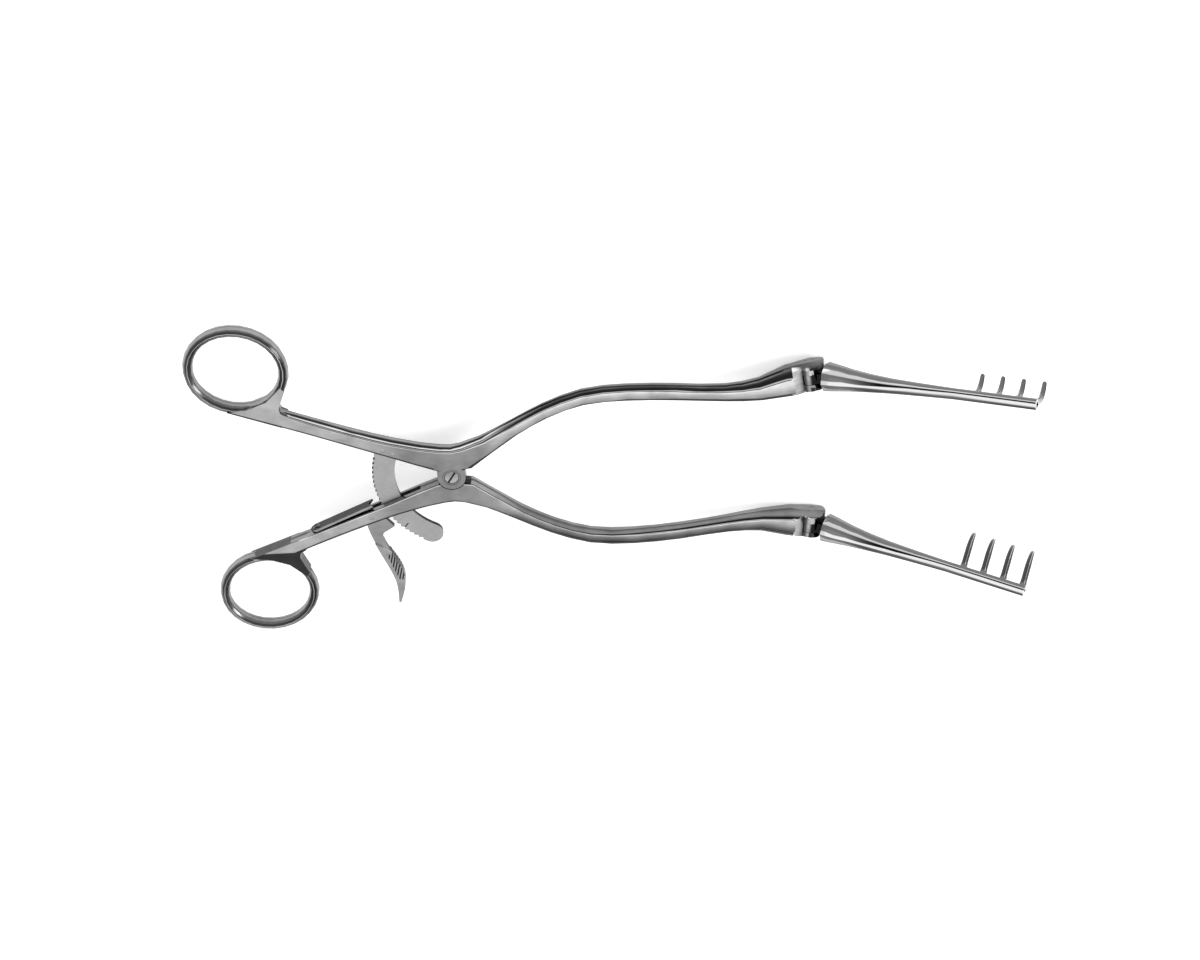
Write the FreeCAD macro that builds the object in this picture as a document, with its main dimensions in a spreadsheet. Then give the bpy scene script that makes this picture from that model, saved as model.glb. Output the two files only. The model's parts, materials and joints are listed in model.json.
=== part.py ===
"""Self-retaining retractor with two hinged blades, modelled as a parametric document.

Frame: the origin lies on the pivot axis, on the flat back of the lap joint. +X runs from the
joint towards the blades, +Y towards the left half and +Z towards the front, where the screw
head is. The left and right halves are mirror images about the XZ plane, except for the lap
joint, the ratchet bar on the left half and the release lever on the right half. The blades
are drawn part folded towards the front, as the instrument lies at rest. Millimetres, degrees.
"""
import FreeCAD, Part
import math
import os
from collections import namedtuple

V = FreeCAD.Vector
UP = V(0, 0, 1)
doc = FreeCAD.newDocument("retractor")
sheet = doc.addObject("Spreadsheet::Sheet", "Dimensions")

# Driving dimensions

SIZES = {
    # forged halves
    "forging_thick": 6.0,
    "ring_wide": 17.3,
    "ring_narrow": 16.5,
    "ring_lean": 25.0,
    "ring_centre_x": -73.9,
    "ring_centre_y": 50.4,
    "ring_rim": 3.8,
    "ring_depth": 5.2,
    "web_depth": 5.3,
    # lap joint
    "boss_radius": 5.2,
    "lap_gap": 0.2,
    "boss_clear": 0.3,
    "screw_radius": 1.9,
    "screw_head_radius": 2.65,
    "screw_head_high": 1.2,
    "screw_slot_wide": 0.7,
    "screw_slot_deep": 0.55,
    "screw_slot_turn": 57.0,
    "edge_break": 0.2,
    "head_fit": 0.08,
    "run_fit": 0.04,
    "pin_fit": 0.02,
    # ratchet bar
    "rack_radius": 34.6,
    "rack_wide": 8.4,
    "rack_thick": 1.6,
    "rack_centre_x": 5.0,
    "rack_centre_y": 0.0,
    "rack_start": -26.7,
    "rack_end": 61.5,
    "rack_seat_clear": 0.05,
    "teeth_start": -17.5,
    "tooth_pitch": 3.45,
    "tooth_depth": 0.8,
    "tooth_count": 22,
    "rack_pin_radius": 0.8,
    "rack_pin_turn": -25.0,
    "rack_pin_inset": 2.2,
    "pin_long": 5.76,
    # release lever and its leaf spring
    "lever_thick": 2.0,
    "grip_thick": 3.6,
    "lever_pin_clear": 5.32,
    "lever_pin_turn": 24.57,
    "lever_pin_radius": 0.9,
    "lever_head_radius": 2.7,
    "pawl_clear": 1.67,
    "pawl_turn": 38.5,
    "slot_before": 21.9,
    "slot_beyond": 5.6,
    "slot_side_clear": 0.15,
    "groove_count": 9,
    "groove_deep": 0.45,
    "leaf_wide": 4.4,
    "leaf_thick": 0.9,
    "leaf_long": 24.4,
    "leaf_beyond": 22.0,
    "leaf_lift": 0.95,
    "leaf_seat_gap": 0.08,
    "leaf_notch": 1.5,
    "leaf_screw_inset": 2.6,
    "leaf_screw_radius": 0.8,
    "leaf_screw_head": 1.45,
    "leaf_screw_head_high": 0.55,
    "leaf_screw_deep": 3.2,
    # blade hinges
    "hinge_x": 133.7,
    "hinge_y": 33.7,
    "hinge_z": -4.3,
    "hinge_splay": 6.0,
    "blade_fold": 28.8,
    "ear_radius": 5.2,
    "tongue_wide": 4.0,
    "tongue_clear": 0.15,
    "hinge_pin_radius": 1.35,
    "base_set": 6.6,
    "neck_high": 6.0,
    "base_rise": 0.8,
    "fold_clear": 0.3,
    "facet_start": -6.3,
    "facet_turn": 125.0,
    "dish_radius": 5.6,
    "dish_reach": 0.3,
    "dish_floor": 1.9,
    # blades
    "blade_long": 78.8,
    "base_radius": 5.45,
    "rake_wide": 3.9,
    "rake_deep": 3.0,
    "rake_corner": 1.0,
    "rake_drop": 1.7,
    "tip_drop": 3.1,
    "rake_long": 30.5,
    "prong_count": 4,
    "prong_spacing": 7.65,
    "prong_end_inset": 1.2,
    "prong_straight": 10.0,
    "prong_radius": 1.2,
    "prong_tip_radius": 0.85,
    "prong_root_radius": 1.7,
    "prong_inward": 28.0,
    "prong_back": 7.5,
    "hook_radius": 9.8,
    "hook_turn": 61.0,
}

# Sections of one half, from the finger ring to the blade hinge. Each gives its place, the inner
# and outer edges of the front face in the XY plane, the heights of the front and back faces above
# the mid-plane, the corner radii, the flats beside the rib, the rib and the crown of the inner wall.
Station = namedtuple("Station", "x inner outer front back inner_round outer_round wall rib crown")
STATIONS = {
    "ring_root": Station(-62.0, 26.6, 32.2, 2.65, -2.65, 0.6, 0.45, 0.8, 1.2, 0.2),
    "shank_low": Station(-50.0, 21.8, 26.9, 2.75, -2.75, 0.6, 0.45, 0.8, 1.5, 0.3),
    "shank_mid": Station(-36.0, 16.0, 21.2, 2.85, -2.85, 0.6, 0.45, 0.8, 1.6, 0.3),
    "shank_top": Station(-22.0, 10.2, 16.1, 3.0, -3.0, 0.6, 0.45, 0.9, 1.6, 0.3),
    "joint_near": Station(-12.0, 5.9, 13.3, 3.0, -3.0, 0.6, 0.45, 0.9, 1.6, 0.3),
    "joint_left": Station(-4.5, 2.9, 11.7, 3.0, -3.0, 0.6, 0.45, 0.9, 1.6, 0.3),
    "joint_mid": Station(0.5, 2.6, 11.2, 3.0, -3.0, 0.6, 0.5, 0.9, 1.6, 0.3),
    "joint_right": Station(6.0, 2.9, 12.6, 3.0, -3.0, 0.6, 0.6, 0.9, 1.6, 0.3),
    "crotch": Station(14.0, 8.9, 16.2, 3.0, -3.0, 0.6, 1.0, 0.7, 1.4, 0.3),
    "arm_rise": Station(24.0, 16.6, 22.2, 3.0, -2.9, 0.4, 1.5, 0.5, 0.9, 0.3),
    "arm_bend": Station(36.0, 23.9, 28.9, 3.05, -2.75, 0.5, 1.7, 0.3, 0.6, 0.3),
    "arm_crest": Station(50.0, 29.2, 34.1, 3.2, -2.5, 0.6, 1.7, 0.3, 0.5, 0.3),
    "arm_flat": Station(66.0, 30.2, 35.4, 3.3, -2.3, 0.8, 1.7, 0.3, 0.4, 0.3),
    "arm_mid": Station(84.0, 29.1, 34.4, 3.2, -2.5, 1.0, 1.7, 0.3, 0.4, 0.3),
    "arm_dip": Station(102.0, 27.2, 32.6, 2.8, -3.4, 1.2, 1.8, 0.4, 0.5, 0.3),
    "knuckle_neck": Station(115.0, 26.4, 33.6, 2.4, -5.6, 1.4, 2.6, 0.5, 0.7, 0.5),
    "knuckle_swell": Station(125.0, 27.2, 37.0, 2.1, -8.2, 1.6, 3.2, 0.5, 0.7, 0.7),
    "knuckle_end": Station(134.0, 28.5, 39.0, 1.95, -9.0, 1.8, 3.4, 0.5, 0.5, 0.5),
    "knuckle_tip": Station(141.0, 29.5, 39.6, 1.9, -8.8, 1.8, 3.4, 0.5, 0.3, 0.3),
}
STATION_STEP = 8.0

# Web between ring and shank, in the XY plane: the corners from under the ring along the shank to
# the notch, the arc round the notch, then the corners up to and back along the ring.
WEB_SHANK_SIDE = [(-79.0, 33.6), (-60.0, 25.9), (-56.0, 27.4), (-57.6, 30.6)]
WEB_NOTCH = [(-59.56, 31.72), (-60.0, 32.9), (-59.9, 34.9)]
WEB_RING_SIDE = [(-57.2, 41.5), (-58.6, 43.0), (-64.5, 37.2), (-72.0, 34.2)]

# Release lever below its neck, in the XY plane from its pin: the edge on the ring side from the
# neck to the tip, the thumb side from the tip back up, and the round throat below the pawl.
LEVER_RING_SIDE = [(-2.1, -6.0), (-0.1, -13.3), (2.4, -20.2), (4.9, -27.0), (6.3, -32.7),
                   (6.5, -38.0), (6.4, -42.1)]
LEVER_THUMB_SIDE = [(7.3, -41.7), (9.1, -35.8), (9.8, -31.2), (9.3, -26.6), (7.7, -22.2),
                    (5.4, -17.4), (3.4, -12.1)]
LEVER_THROAT = [(3.2, -9.8), (4.9, -8.0)]
PAWL_SHOULDER = (-1.5, 1.9)
GROOVES_FROM = (9.75, -30.4)
GROOVES_TO = (6.0, -18.7)

# Blade ahead of the rake: distance from its base, width, depth, corner radius and the drop of
# its middle towards the back.
BLADE_TAPER = [(0.0, 10.9, 10.9, 5.3, 0.0), (3.0, 10.1, 10.2, 4.9, 0.0),
               (9.6, 7.9, 8.2, 3.6, 0.0), (17.0, 6.2, 6.6, 2.6, 0.1),
               (25.0, 5.0, 5.3, 1.9, 0.4), (36.0, 4.3, 4.0, 1.3, 1.0)]
BLADE_STEP = 8.0

RING_STEPS = 28
RING_CORNERS = 8
PRONG_CORNERS = 8
HOOK_STEPS = 4

row = 1
for alias, value in SIZES.items():
    sheet.set("A%d" % row, alias)
    sheet.set("B%d" % row, str(value))
    sheet.setAlias("B%d" % row, alias)
    row += 1
doc.recompute()


def size(alias):
    """Return one driving dimension from the sheet."""
    return float(getattr(sheet, alias))


MID = size("forging_thick") / 2
FRONT = size("forging_thick")
THROUGH = FRONT + 2


# Small helpers


def deg(angle):
    """Return an angle in radians."""
    return math.radians(angle)


def flat(points):
    """Return vectors in the XY plane for pairs of coordinates."""
    return [V(x, y, 0) for x, y in points]


def segments(points):
    """Return the straight segments that join points in order."""
    return [Part.LineSegment(a, b) for a, b in zip(points, points[1:])]


def face_of(edges):
    """Return the flat face inside a closed run of curves."""
    return Part.Face(Part.Wire([edge.toShape() for edge in edges]))


def arc_points(start, middle, end, steps):
    """Return points along an arc, without its last one."""
    return Part.Arc(start, middle, end).toShape().discretize(steps + 1)[:-1]


def eased(rows, spacing):
    """Return rows with more between them, every column on a smooth curve over the first one."""
    last = len(rows) - 1

    def slope(k, column):
        low = max(k - 1, 0)
        high = min(k + 1, last)
        if low == k or high == k:
            return (rows[high][column] - rows[low][column]) / (rows[high][0] - rows[low][0])
        before = rows[k][0] - rows[low][0]
        after = rows[high][0] - rows[k][0]
        rise_before = (rows[k][column] - rows[low][column]) / before
        rise_after = (rows[high][column] - rows[k][column]) / after
        return (rise_before * after + rise_after * before) / (before + after)

    dense = []
    for k in range(last):
        span = rows[k + 1][0] - rows[k][0]
        count = max(1, round(span / spacing))
        for step in range(count):
            share = step / count
            cubic = share * share * (3 - 2 * share)
            leave = share * (1 - share) ** 2 * span
            arrive = share * share * (share - 1) * span
            dense.append([rows[k][c] + (rows[k + 1][c] - rows[k][c]) * cubic
                          + slope(k, c) * leave + slope(k + 1, c) * arrive
                          if c else rows[k][0] + span * share for c in range(len(rows[0]))])
    dense.append(list(rows[last]))
    return dense


def ruled_solid(outlines, closed=False):
    """Return the solid whose skin runs straight between the corners of following outlines."""
    wires = [Part.makePolygon(points + [points[0]]) for points in outlines]
    return Part.makeLoft(wires, True, True, closed)


def mirrored(shape):
    """Return the shape mirrored from the left half to the right half."""
    return shape.mirror(V(0, 0, 0), V(0, 1, 0))


def rod(radius, spot=V(0, 0, 0)):
    """Return a round rod along Z right through the forging at a spot of the XY plane."""
    return Part.makeCylinder(radius, THROUGH, V(spot.x, spot.y, (FRONT - THROUGH) / 2))


# Half forging


def section(station, place, heading):
    """Return the corners of the forging's outline at one station, square to its run."""
    half = (station.outer - station.inner) / 2 * math.cos(heading)
    side = V(-math.sin(heading), math.cos(heading), 0)
    middle = (station.front + station.back) / 2
    inner = station.inner_round
    outer = station.outer_round
    inner_turn = inner * (1 - math.sqrt(0.5))
    outer_turn = outer * (1 - math.sqrt(0.5))

    def at(across_run, height):
        return place + side * across_run + UP * height

    front_inner = at(inner - half, station.front)
    wall_front = at(half, station.front - outer - station.wall)
    wall_back = at(half, station.back + outer + station.wall)
    back_inner = at(inner - half, station.back)
    inner_back = at(-half, station.back + inner)
    inner_front = at(-half, station.front - inner)
    points = [front_inner]
    points += arc_points(at(half - outer, station.front),
                         at(half - outer_turn, station.front - outer_turn),
                         at(half, station.front - outer), 2)
    points.append(at(half, station.front - outer))
    points += arc_points(wall_front, at(half + station.rib, middle), wall_back, 4)
    points.append(wall_back)
    points += arc_points(at(half, station.back + outer),
                         at(half - outer_turn, station.back + outer_turn),
                         at(half - outer, station.back), 2)
    points.append(at(half - outer, station.back))
    points += arc_points(back_inner, at(inner_turn - half, station.back + inner_turn),
                         inner_back, 2)
    points += arc_points(inner_back, at(-half - station.crown, middle), inner_front, 2)
    points += arc_points(inner_front, at(inner_turn - half, station.front - inner_turn),
                         front_inner, 2)
    return points


def forging():
    """Return the lofted run of the left half, from the ring root to past the hinge."""
    stations = [Station(*row) for row in eased(list(STATIONS.values()), STATION_STEP)]
    places = [V(item.x, (item.inner + item.outer) / 2, MID) for item in stations]
    outlines = []
    for k, item in enumerate(stations):
        way = places[min(k + 1, len(places) - 1)] - places[max(k - 1, 0)]
        outlines.append(section(item, places[k], math.atan2(way.y, way.x)))
    return ruled_solid(outlines)


def finger_ring():
    """Return the oval finger ring, an oval section swept round an oval."""
    centre = V(size("ring_centre_x"), size("ring_centre_y"), MID)
    lean = deg(-size("ring_lean"))
    long_way = V(math.cos(lean), math.sin(lean), 0)
    short_way = UP.cross(long_way)
    outlines = []
    for k in range(RING_STEPS):
        turn = 2 * math.pi * k / RING_STEPS
        reach = long_way * (size("ring_wide") * math.cos(turn))
        reach += short_way * (size("ring_narrow") * math.sin(turn))
        ahead = short_way * (size("ring_narrow") * math.cos(turn))
        ahead -= long_way * (size("ring_wide") * math.sin(turn))
        outward = ahead.normalize().cross(UP)
        angles = [2 * math.pi * corner / RING_CORNERS for corner in range(RING_CORNERS)]
        outlines.append([centre + reach + outward * (size("ring_rim") / 2 * math.cos(angle))
                         + UP * (size("ring_depth") / 2 * math.sin(angle)) for angle in angles])
    return ruled_solid(outlines, True)


def ring_web():
    """Return the flat web that joins the ring to the shank."""
    shank_side = flat(WEB_SHANK_SIDE)
    notch = flat(WEB_NOTCH)
    ring_side = flat(WEB_RING_SIDE)
    edges = segments(shank_side + notch[:1])
    edges.append(Part.Arc(*notch))
    edges += segments(notch[-1:] + ring_side + shank_side[:1])
    face = face_of(edges)
    face.translate(V(0, 0, MID - size("web_depth") / 2))
    return face.extrude(UP * size("web_depth"))


# Lap joint: the left half's boss lies in front, the right half's behind it


def boss(side):
    """Return the boss of one half; side is 1 for the left one and -1 for the right one."""
    thick = MID - size("lap_gap") / 2
    low = FRONT - thick if side > 0 else 0.0
    radius = size("boss_radius")
    inner = STATIONS["joint_mid"].inner + 2 * STATIONS["joint_mid"].crown
    bridge = Part.makeBox(2 * radius, inner, thick, V(-radius, 0 if side > 0 else -inner, low))
    return Part.makeCylinder(radius, thick, V(0, 0, low)).fuse(bridge)


def boss_clearance(side):
    """Return what one half loses so that the other half's boss can turn in it."""
    radius = size("boss_radius") + size("boss_clear")
    high = MID + size("lap_gap") / 2 + 1
    return Part.makeCylinder(radius, high, V(0, 0, -1 if side > 0 else FRONT + 1 - high))


# Blade hinge, in a frame with its origin on the pin axis, u along the unfolded blade, v across


def hinge_placement(side, fold):
    """Return the placement of a hinge frame; side is 1 for left and -1 for right."""
    spot = V(size("hinge_x"), side * size("hinge_y"), size("hinge_z") + MID)
    splay = FreeCAD.Rotation(UP, side * size("hinge_splay"))
    lift = FreeCAD.Rotation(V(0, 1, 0), -fold)
    return FreeCAD.Placement(spot, splay.multiply(lift))


def across(radius, length):
    """Return a cylinder along the pin axis, centred across the hinge."""
    return Part.makeCylinder(radius, length, V(0, -length / 2, 0), V(0, 1, 0))


def hinge_cut(side):
    """Return what a fork loses: the swing of the blade's base, the tongue slot and the bore."""
    wide = 4 * size("base_radius") + size("base_set")
    ear = size("ear_radius")
    front_high = STATIONS["knuckle_end"].front - size("hinge_z")
    base_high = size("base_radius") + size("base_rise")
    swing = math.hypot(size("base_set"), base_high) + size("fold_clear")
    turn = deg(size("facet_turn"))
    facet_start = size("facet_start")
    kept = [V(across_axis, -wide, high) for across_axis, high in (
        (0, 0), (ear * math.cos(turn), ear * math.sin(turn)), (facet_start, front_high),
        (facet_start, wide), (-wide, wide), (-wide, -wide), (0, -wide))]
    wedge = Part.Face(Part.makePolygon(kept + kept[:1])).extrude(V(0, 2 * wide, 0))
    ring = across(swing, wide).cut([wedge, across(ear, wide + 2)])
    outside = Part.makeBox(wide, wide, 2 * wide, V(ear, -wide / 2, -wide))
    slot_wide = size("tongue_wide") + 2 * size("tongue_clear")
    slot_radius = ear + size("fold_clear")
    neck_room = size("neck_high") / 2 + size("fold_clear")
    slot = across(slot_radius, slot_wide)
    slot = slot.fuse([Part.makeBox(wide, slot_wide, 2 * slot_radius,
                                   V(0, -slot_wide / 2, -slot_radius)),
                      Part.makeBox(neck_room, slot_wide, wide,
                                   V(-neck_room, -slot_wide / 2, 0))])
    dish = Part.makeCylinder(size("dish_radius"), wide,
                             V(size("dish_reach") + size("dish_radius"), 0, size("dish_floor")))
    bore = across(size("hinge_pin_radius") + size("pin_fit"), wide)
    lost = ring.fuse([outside, slot, dish, bore])
    lost.Placement = hinge_placement(side, 0)
    return lost


# Blades, in their hinge frame


def rounded_rectangle(along, wide, deep, corner, drop):
    """Return the corners of a rounded rectangle square to the blade at a distance along it."""
    centre = V(along, 0, size("base_rise") - drop)
    points = []
    for quarter in range(4):
        y_sign = 1 if quarter in (0, 3) else -1
        z_sign = 1 if quarter < 2 else -1
        middle = centre + V(0, y_sign * (wide / 2 - corner), z_sign * (deep / 2 - corner))
        for step in range(3):
            turn = deg(90 * quarter + 45 * step)
            points.append(middle + V(0, math.cos(turn), math.sin(turn)) * corner)
    return points


def prong(before_end):
    """Return one prong: a shaft leaning inward and back, then a hook turned outward."""
    inward = deg(size("prong_inward"))
    back = deg(size("prong_back"))
    down = V(-math.sin(back), -math.sin(inward), -math.cos(back) * math.cos(inward)).normalize()
    out = V(0, 1, 0) - down * down.y
    out.normalize()
    flank = down.cross(out)
    share = before_end / size("rake_long")
    drop = size("tip_drop") + (size("rake_drop") - size("tip_drop")) * share
    start = V(size("base_set") + size("blade_long") - before_end, 0, size("base_rise") - drop)
    radius = size("prong_radius")
    bar = size("rake_deep") / 2
    stops = [(0.0, size("prong_root_radius")), (bar, size("prong_root_radius")),
             (bar + 0.6 * radius, 1.15 * radius), (bar + 2 * radius, radius),
             (size("prong_straight"), radius)]
    path = [(start + down * reach, down, girth) for reach, girth in stops]
    centre = start + down * size("prong_straight") + out * size("hook_radius")
    tip_girth = size("prong_tip_radius")
    for k in range(1, HOOK_STEPS + 1):
        share = k / HOOK_STEPS
        turn = deg(size("hook_turn")) * share
        spot = centre - out * (size("hook_radius") * math.cos(turn))
        spot += down * (size("hook_radius") * math.sin(turn))
        ahead = down * math.cos(turn) + out * math.sin(turn)
        path.append((spot, ahead, radius + (tip_girth - radius) * share))
    spot, ahead, girth = path[-1]
    for turn in (40, 75):
        path.append((spot + ahead * (girth * math.sin(deg(turn))), ahead,
                     girth * math.cos(deg(turn))))
    outlines = []
    for spot, ahead, girth in path:
        normal = flank.cross(ahead)
        angles = [2 * math.pi * corner / PRONG_CORNERS for corner in range(PRONG_CORNERS)]
        outlines.append([spot + normal * (girth * math.cos(angle))
                         + flank * (girth * math.sin(angle)) for angle in angles])
    return ruled_solid(outlines)


def blade():
    """Return the left blade: tongue, tapered bar and the rake of hooked prongs."""
    set_back = size("base_set")
    long = size("blade_long")
    rake = (size("rake_wide"), size("rake_deep"), size("rake_corner"))
    taper = eased(BLADE_TAPER + [(long - size("rake_long"),) + rake + (size("rake_drop"),)],
                  BLADE_STEP)
    taper.append((long,) + rake + (size("tip_drop"),))
    bar = ruled_solid([rounded_rectangle(set_back + along, wide, deep, corner, drop)
                       for along, wide, deep, corner, drop in taper])
    ear = size("ear_radius") - size("fold_clear") / 3
    tongue = across(ear, size("tongue_wide"))
    neck_high = size("neck_high")
    neck = Part.makeBox(set_back + 1.0, size("tongue_wide"), neck_high,
                        V(0, -size("tongue_wide") / 2, -neck_high / 2))
    prongs = [prong(size("prong_end_inset") + k * size("prong_spacing"))
              for k in range(int(size("prong_count")))]
    shape = bar.fuse([tongue, neck] + prongs)
    return shape.cut(across(size("hinge_pin_radius") + size("run_fit"), 2 * set_back))


# Ratchet bar


def rack_point(radius, turn):
    """Return a point of the ratchet bar at a radius and at an angle below the -X axis."""
    return V(size("rack_centre_x") - radius * math.cos(deg(turn)),
             size("rack_centre_y") - radius * math.sin(deg(turn)), 0)


def rack_arc(radius, start, end):
    """Return an arc about the ratchet bar's centre."""
    return Part.Arc(rack_point(radius, start), rack_point(radius, (start + end) / 2),
                    rack_point(radius, end))


def rack_edges():
    """Return the outline of the ratchet bar: toothed edge, round end, smooth edge, fixed end."""
    outer = size("rack_radius")
    inner = outer - size("rack_wide")
    middle = outer - size("rack_wide") / 2
    start = size("rack_start")
    end = size("rack_end")
    turn = size("teeth_start")
    edges = [rack_arc(outer, start, turn)]
    for _ in range(int(size("tooth_count"))):
        root = rack_point(outer - size("tooth_depth"), turn + 0.8 * size("tooth_pitch"))
        edges.append(Part.LineSegment(rack_point(outer, turn), root))
        turn += size("tooth_pitch")
        edges.append(Part.LineSegment(root, rack_point(outer, turn)))
    edges.append(rack_arc(outer, turn, end))
    bulge = math.degrees(size("rack_wide") / 2 / middle)
    edges.append(Part.Arc(rack_point(outer, end), rack_point(middle, end + bulge),
                          rack_point(inner, end)))
    edges.append(rack_arc(inner, end, start))
    edges.append(Part.LineSegment(rack_point(inner, start), rack_point(outer, start)))
    return edges


def rack_pocket():
    """Return the pocket in the left shank that holds the fixed end of the ratchet bar."""
    grow = size("rack_seat_clear")
    outer = size("rack_radius") + grow
    inner = size("rack_radius") - size("rack_wide") - grow
    start = size("rack_start") - math.degrees(grow / inner)
    stop = 20.0
    face = face_of([rack_arc(outer, start, stop),
                    Part.LineSegment(rack_point(outer, stop), rack_point(inner, stop)),
                    rack_arc(inner, stop, start),
                    Part.LineSegment(rack_point(inner, start), rack_point(outer, start))])
    high = size("rack_thick") + 2 * grow
    face.translate(V(0, 0, MID - high / 2))
    return face.extrude(UP * high)


def rack_pin_spots():
    """Return the centres of the two pins that hold the ratchet bar."""
    inset = size("rack_pin_inset")
    outer = size("rack_radius") - inset
    inner = size("rack_radius") - size("rack_wide") + inset
    return [rack_point(radius, size("rack_pin_turn")) for radius in (outer, inner)]


# Right shank: a line along its inner wall, the lever's slot and the leaf spring on the wall

WALL_START = V(STATIONS["shank_top"].x, -STATIONS["shank_top"].inner, 0)
WALL_RUN = V(STATIONS["shank_low"].x, -STATIONS["shank_low"].inner, 0) - WALL_START
WALL_RUN.normalize()
WALL_OUT = WALL_RUN.cross(UP)


LEVER_PIN = rack_point(size("rack_radius") + size("lever_pin_clear"), size("lever_pin_turn"))


def wall_point(beyond):
    """Return the point of the right shank's inner wall at a distance beyond the lever's pin."""
    return WALL_START + WALL_RUN * ((LEVER_PIN - WALL_START).dot(WALL_RUN) + beyond)


def lever_slot():
    """Return the slot right through the right shank for the ratchet bar and the lever."""
    high = size("lever_thick") + 2 * size("slot_side_clear")
    deep = 2 * (STATIONS["shank_top"].outer - STATIONS["shank_top"].inner)
    near = wall_point(-size("slot_before")) + WALL_OUT * deep
    far = wall_point(size("slot_beyond")) + WALL_OUT * deep
    through = WALL_OUT * (-2 * deep)
    corners = [near, far, far + through, near + through]
    face = face_of(segments(corners + corners[:1]))
    face.translate(V(0, 0, MID - high / 2))
    return face.extrude(UP * high)


def leaf_placement():
    """Return the placement of the leaf: x along it from the screw, z off the shank's wall."""
    seat = STATIONS["shank_mid"].crown + size("leaf_seat_gap")
    spot = wall_point(size("leaf_beyond")) + WALL_OUT * seat + UP * MID
    turn = FreeCAD.Rotation(WALL_RUN * -1, V(0, 0, 0), WALL_OUT, "XZY")
    tilt = math.degrees(math.atan2(size("leaf_lift"), size("leaf_long")))
    return FreeCAD.Placement(spot, turn.multiply(FreeCAD.Rotation(V(0, 1, 0), -tilt)))


def leaf_screw_spot():
    """Return the foot of the leaf's screw on the underside of the leaf."""
    return V(size("leaf_screw_inset") - size("leaf_wide") / 2, 0, 0)


def leaf_shape():
    """Return the leaf spring: round at the screwed end, forked at the free end."""
    half = size("leaf_wide") / 2
    long = size("leaf_long")
    corners = [V(0, -half, 0), V(long, -half, 0), V(long - size("leaf_notch"), 0, 0),
               V(long, half, 0), V(0, half, 0)]
    face = face_of(segments(corners) + [Part.Arc(corners[-1], V(-half, 0, 0), corners[0])])
    leaf = face.extrude(UP * size("leaf_thick"))
    hole = size("leaf_screw_radius") + size("run_fit")
    return leaf.cut(Part.makeCylinder(hole, 4 * size("leaf_thick"),
                                      leaf_screw_spot() - UP * size("leaf_thick")))


def spring_screw_shape():
    """Return the small domed screw that holds the leaf."""
    deep = size("leaf_screw_deep")
    thick = size("leaf_thick")
    head = size("leaf_screw_head")
    foot = leaf_screw_spot()
    stem = Part.makeCylinder(size("leaf_screw_radius"), deep + thick + 0.1, foot - UP * deep)
    dome = Part.makeCone(head, 0.7 * head, size("leaf_screw_head_high"),
                         foot + UP * (thick + size("leaf_seat_gap")))
    return stem.fuse(dome).removeSplitter()


def spring_screw_bore():
    """Return the bore in the right shank for the leaf's screw."""
    deep = size("leaf_screw_deep") + 0.1
    bore = Part.makeCylinder(size("leaf_screw_radius") + size("pin_fit"), 2 * deep,
                             leaf_screw_spot() - UP * deep)
    bore.Placement = leaf_placement()
    return bore


# Release lever outlines


def spline_through(points):
    """Return the smooth curve through points."""
    curve = Part.BSplineCurve()
    curve.interpolate(points)
    return curve


def from_pin(points):
    """Return vectors in the XY plane for pairs of coordinates from the lever's pin."""
    return [LEVER_PIN + point for point in flat(points)]


def lever_edges():
    """Return the outline of the lever: round head, ring side, tip, thumb side and pawl."""
    pin = LEVER_PIN
    head = size("lever_head_radius")
    top = pin + V(-0.35, 0.94, 0).normalize() * head
    left = pin + V(-1, -0.15, 0).normalize() * head
    right = pin + V(0.97, 0.22, 0).normalize() * head
    tip = rack_point(size("rack_radius") + size("pawl_clear"), size("pawl_turn"))
    shoulder = tip + V(PAWL_SHOULDER[0], PAWL_SHOULDER[1], 0)
    ring_side = from_pin(LEVER_RING_SIDE)
    thumb_side = from_pin(LEVER_THUMB_SIDE)
    throat = from_pin(LEVER_THROAT)
    return [Part.Arc(right, top, left),
            Part.LineSegment(left, ring_side[0]),
            spline_through(ring_side),
            Part.LineSegment(ring_side[-1], thumb_side[0]),
            spline_through(thumb_side),
            Part.Arc(thumb_side[-1], throat[0], throat[1]),
            Part.LineSegment(throat[1], tip),
            Part.LineSegment(tip, shoulder),
            Part.LineSegment(shoulder, right)]


def grip_edges():
    """Return the outline of the lever's thicker grip, which follows the lever's own edges."""
    ring_side = from_pin(LEVER_RING_SIDE)
    thumb_side = from_pin(LEVER_THUMB_SIDE)
    ring_curve = spline_through(ring_side)
    thumb_curve = spline_through(thumb_side)
    ring_curve.segment(ring_curve.parameter(ring_side[1]), ring_curve.LastParameter)
    thumb_curve.segment(thumb_curve.FirstParameter, thumb_curve.parameter(thumb_side[-2]))
    return [ring_curve,
            Part.LineSegment(ring_curve.EndPoint, thumb_curve.StartPoint),
            thumb_curve,
            Part.LineSegment(thumb_curve.EndPoint, ring_curve.StartPoint)]


def groove_edges():
    """Return the small notches cut across the thumb side of the grip."""
    curve = spline_through(from_pin(LEVER_THUMB_SIDE))
    first, last = [curve.parameter(spot) for spot in from_pin([GROOVES_FROM, GROOVES_TO])]
    count = int(size("groove_count"))
    deep = size("groove_deep")
    edges = []
    for k in range(count):
        spot = curve.value(first + (last - first) * k / (count - 1))
        along = curve.tangent(first + (last - first) * k / (count - 1))[0]
        into = along.cross(UP) * -1
        corners = [spot + into * deep, spot + along * deep - into * deep,
                   spot - along * deep - into * deep]
        edges += segments(corners + corners[:1])
    return edges


# Document objects

made = []


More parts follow.
